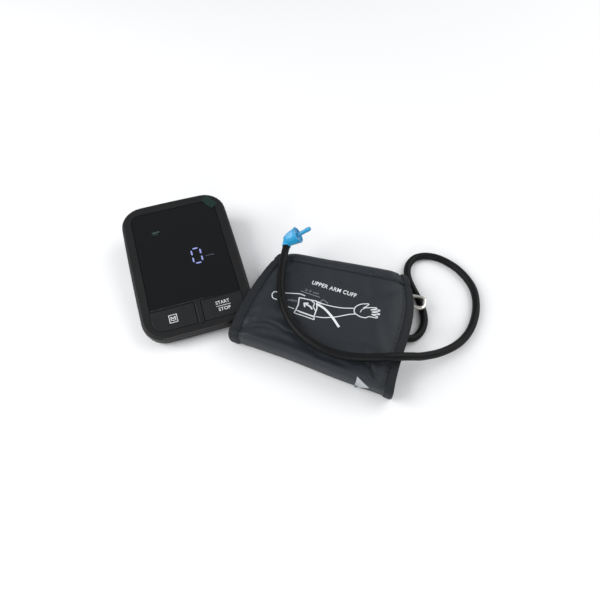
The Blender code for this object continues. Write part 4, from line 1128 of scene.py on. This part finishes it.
DIGIT_GLOW = glow("digit_glow", (0.30, 0.36, 0.86), 0.85, (0.44, 0.50, 0.95))
UNIT_GLOW = glow("unit_glow", (0.14, 0.15, 0.26), 0.55, (0.22, 0.22, 0.34))
SIGN_GLOW = glow("sign_glow", (0.005, 0.040, 0.010), 0.9, (0.008, 0.055, 0.016))
WINDOW_TOP = -0.2
SHAPE_LIFT, WORD_LIFT = WINDOW_TOP + 0.03, WINDOW_TOP + 0.05
DIGIT_X, DIGIT_Y, DIGIT_WIDTH, DIGIT_HEIGHT = 11.8, 76.0, 8.4, 16.4
SEGMENT, POINTED, BREAK = 1.45, 1.0, 1.4    # a segment's width, its point, and the gap beside it
left, right = DIGIT_X - DIGIT_WIDTH / 2, DIGIT_X + DIGIT_WIDTH / 2
foot, head = DIGIT_Y - DIGIT_HEIGHT / 2, DIGIT_Y + DIGIT_HEIGHT / 2
segments = [bar((left + BREAK, end_y), (right - BREAK, end_y), SEGMENT, POINTED)
            for end_y in (foot, head)]
for x in (left, right):
    segments += [bar((x, foot + BREAK), (x, DIGIT_Y - BREAK * 0.8), SEGMENT, POINTED),
                 bar((x, DIGIT_Y + BREAK * 0.8), (x, head - BREAK), SEGMENT, POINTED)]
digit = deck_shape("lit_nought", segments, DIGIT_GLOW, SHAPE_LIFT)
unit = lettering("lit_unit", "mmHg", UNIT_GLOW, deck_frame(23.6, 73.3, WORD_LIFT), 1.9, 7.6,
                 thickness=0.04)
sign = deck_shape("lit_sign", [bar((-24.2, 112.0), (-16.6, 112.6), 1.6, 0.7),
                               bar((-23.4, 109.9), (-18.8, 110.3), 0.7, 0.3)], SIGN_GLOW,
                  SHAPE_LIFT)
print("lit marks on the window")

# %% Marks on the buttons
BUTTON_TOP = 0.1
MARK_LIFT, LABEL_LIFT = BUTTON_TOP + 0.02, BUTTON_TOP + 0.05
button_ink = moulded("button_ink", (0.60, 0.61, 0.62), 0.5, scale=900.0, wear=0.4, lift=0.7,
                     dust=0.0)
MARK_X, MARK_Y, MARK_W, MARK_H = -22.6, 17.4, 6.9, 7.5
FRAME_LINE, LETTER_LINE, DIVIDING_LINE = 0.65, 0.75, 0.5
LABEL_HEIGHT, LABEL_SPACING = 3.4, 1.05
LETTER_BARS = ((-1.9, -2.0, -1.9, 2.1), (1.9, -2.0, 1.9, 2.1), (-1.45, 2.0, -0.1, -0.5),
               (1.45, 2.0, 0.1, -0.5), (-1.1, -1.8, 1.1, -1.8))


def frame_bars(x, y, width, height, line):
    """Four bars round a rectangle."""
    l, r, f, b = x - width / 2, x + width / 2, y - height / 2, y + height / 2
    half = line / 2
    return [bar((l - half, f), (r + half, f), line), bar((l - half, b), (r + half, b), line),
            bar((l, f + half), (l, b - half), line), bar((r, f + half), (r, b - half), line)]


memory_shapes = frame_bars(MARK_X, MARK_Y, MARK_W, MARK_H, FRAME_LINE)
memory_shapes += [bar((MARK_X + x, MARK_Y + y), (MARK_X + u, MARK_Y + v), LETTER_LINE)
                  for x, y, u, v in LETTER_BARS]
memory_mark = deck_shape("memory_mark", memory_shapes, button_ink, MARK_LIFT)
start_word, stop_word = (
    lettering(name, words, button_ink, deck_frame(x, y, LABEL_LIFT), LABEL_HEIGHT, width,
              bold=BOLD, spacing=LABEL_SPACING)
    for name, words, x, y, width in (("start_word", "START", 23.0, 21.3, 12.6),
                                     ("stop_word", "STOP", 23.4, 14.5, 11.0)))
middle_line = deck_shape("middle_line", [bar((16.4, 17.9), (29.8, 17.9), DIVIDING_LINE)],
                         button_ink, MARK_LIFT)
print("marks on the buttons")

# %% [markdown]
# ## Finishes for the hard pieces
# The CAD pieces whose shapes are right stay. Each gets one of the finishes above in place
# of its plain colour.

# %% Finishes on the CAD nodes
def number(title):
    """The names of four like pieces."""
    return [f"{title}_{index}" for index in range(1, 5)]


film_finish = moulded("film_green", (0.008, 0.030, 0.024), 0.14, scale=200.0, wear=0.5, lift=1.8,
                      Alpha=0.55)
CAD_FINISHES = (
    (case_finish, ["upper_case", "lower_case", "battery_door"]),
    (button_finish, ["memory_button", "start_button"]),
    (window_finish, ["screen_window"]),
    (inner_black, ["display_module", "pressure_sensor", "buzzer"]),
    (board_finish, ["main_board"]),
    (steel_finish, number("case_screw") + ["pump_motor", "memory_switch", "start_switch",
                                           "release_valve"]),
    (nickel_finish, ["d_ring", "power_jack"] + number("contact_spring")),
    (brass_finish, number("contact_plate")),
    (white_finish, ["air_socket", "air_manifold", "pump_head"]),
    (silicone_finish, ["pump_tube", "valve_tube", "sensor_tube"]),
    (foot_finish, number("rubber_foot")),
    (rubber_finish, ["hose_port"]),
    (cell_finish, number("battery")),
    (film_finish, ["film_tab"]),
)
for finish, names in CAD_FINISHES:
    for name in names:
        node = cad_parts[name]
        for slot in node.material_slots:
            slot.material = finish
print("finished", sum(len(names) for _, names in CAD_FINISHES), "CAD nodes")

# %% [markdown]
# ## Who moves with what
# Each new piece rides on the body of the thing that it belongs to and names the CAD solids
# that it stands for, which are hidden.

# %% Riding and replacing
CUFF_PIECES = {
    "cuff_nylon": ((cuff_cloth, "cuff_cover"), (cuff_lining,), (flap, "cuff_tail", "hook_patch"),
                   (strap, "ring_sleeve"), (arm_print,), (scale_print,), (title_print,),
                   (distance_print,), (side_print,), (triangle_print,)),
    "binding_tape": ((left_tape, "left_binding"), (right_tape, "right_binding"), (stitches,)),
    "bladder_film": ((bladder, "air_bladder"),),
    "rubber_black": ((hose, "air_hose"),),
    "plug_blue": ((plug, "air_plug"), (collar,)),
}
RIDERS = (
    ("cuff", CUFF_PIECES),
    ("console", {"window_black": ((digit,), (unit,), (sign,))}),
    ("memory_button", {"button_grey": ((memory_mark,),)}),
    ("start_button", {"button_grey": ((start_word,), (stop_word,), (middle_line,))}),
)
for body, slots in RIDERS:
    for slot_name, rows in slots.items():
        for piece, *replaced in rows:
            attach(piece, body)
            if replaced:
                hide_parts(*replaced)
print(sum(len(rows) for _, slots in RIDERS for rows in slots.values()), "pieces ride on bodies")

# %% [markdown]
# ## Floor and light
# A pale seamless floor, a bright even sky, two large soft lamps and a small low one, as in
# a light tent. The lamps stand where none shows in the window as seen from the front.

# %% Stage
FLOOR_HALF, FLOOR_DROP = 6.0, 0.1 * MM
FLOOR_GREY, SKY_COLOUR, SKY_STRENGTH = 0.86, (0.94, 0.96, 1.0, 1.0), 0.50
floor_mesh = bpy.data.meshes.new("floor")
floor_mesh.from_pydata([(-FLOOR_HALF, -FLOOR_HALF, 0), (FLOOR_HALF, -FLOOR_HALF, 0),
                        (FLOOR_HALF, FLOOR_HALF, 0), (-FLOOR_HALF, FLOOR_HALF, 0)], [],
                       [(0, 1, 2, 3)])
floor = linked("floor", floor_mesh)
floor.location.z = -FLOOR_DROP
floor_mesh.materials.append(shader("floor_paper", {
    "Roughness": 0.9, "Base Color": (FLOOR_GREY, FLOOR_GREY, FLOOR_GREY, 1.0)})[0])


def lamp(name, position, target, size, power):
    """A square lamp, its size in metres and its power in watts, that faces a target."""
    light = bpy.data.lights.new(name, "AREA")
    light.shape, light.size, light.energy = "SQUARE", size, power
    item = linked(name, light)
    item.location = position
    item.rotation_euler = (Vector(target) - Vector(position)).to_track_quat("-Z", "Y").to_euler()


lamp("key", (-1.15, 0.20, 0.85), (0, 0, 0), 1.1, 18.0)
lamp("fill", (1.10, 0.10, 0.95), (0.05, 0, 0), 1.3, 10.0)
lamp("edge", (-0.25, -1.10, 0.40), (-0.05, -0.10, 0.02), 0.35, 4.0)
world = bpy.data.worlds.new("sky")
world.use_nodes = True
fill(world.node_tree, world.node_tree.nodes["Background"], Color=SKY_COLOUR,
     Strength=SKY_STRENGTH)
bpy.context.scene.world = world
bpy.context.scene.view_settings.view_transform = "Standard"
print("stage set")
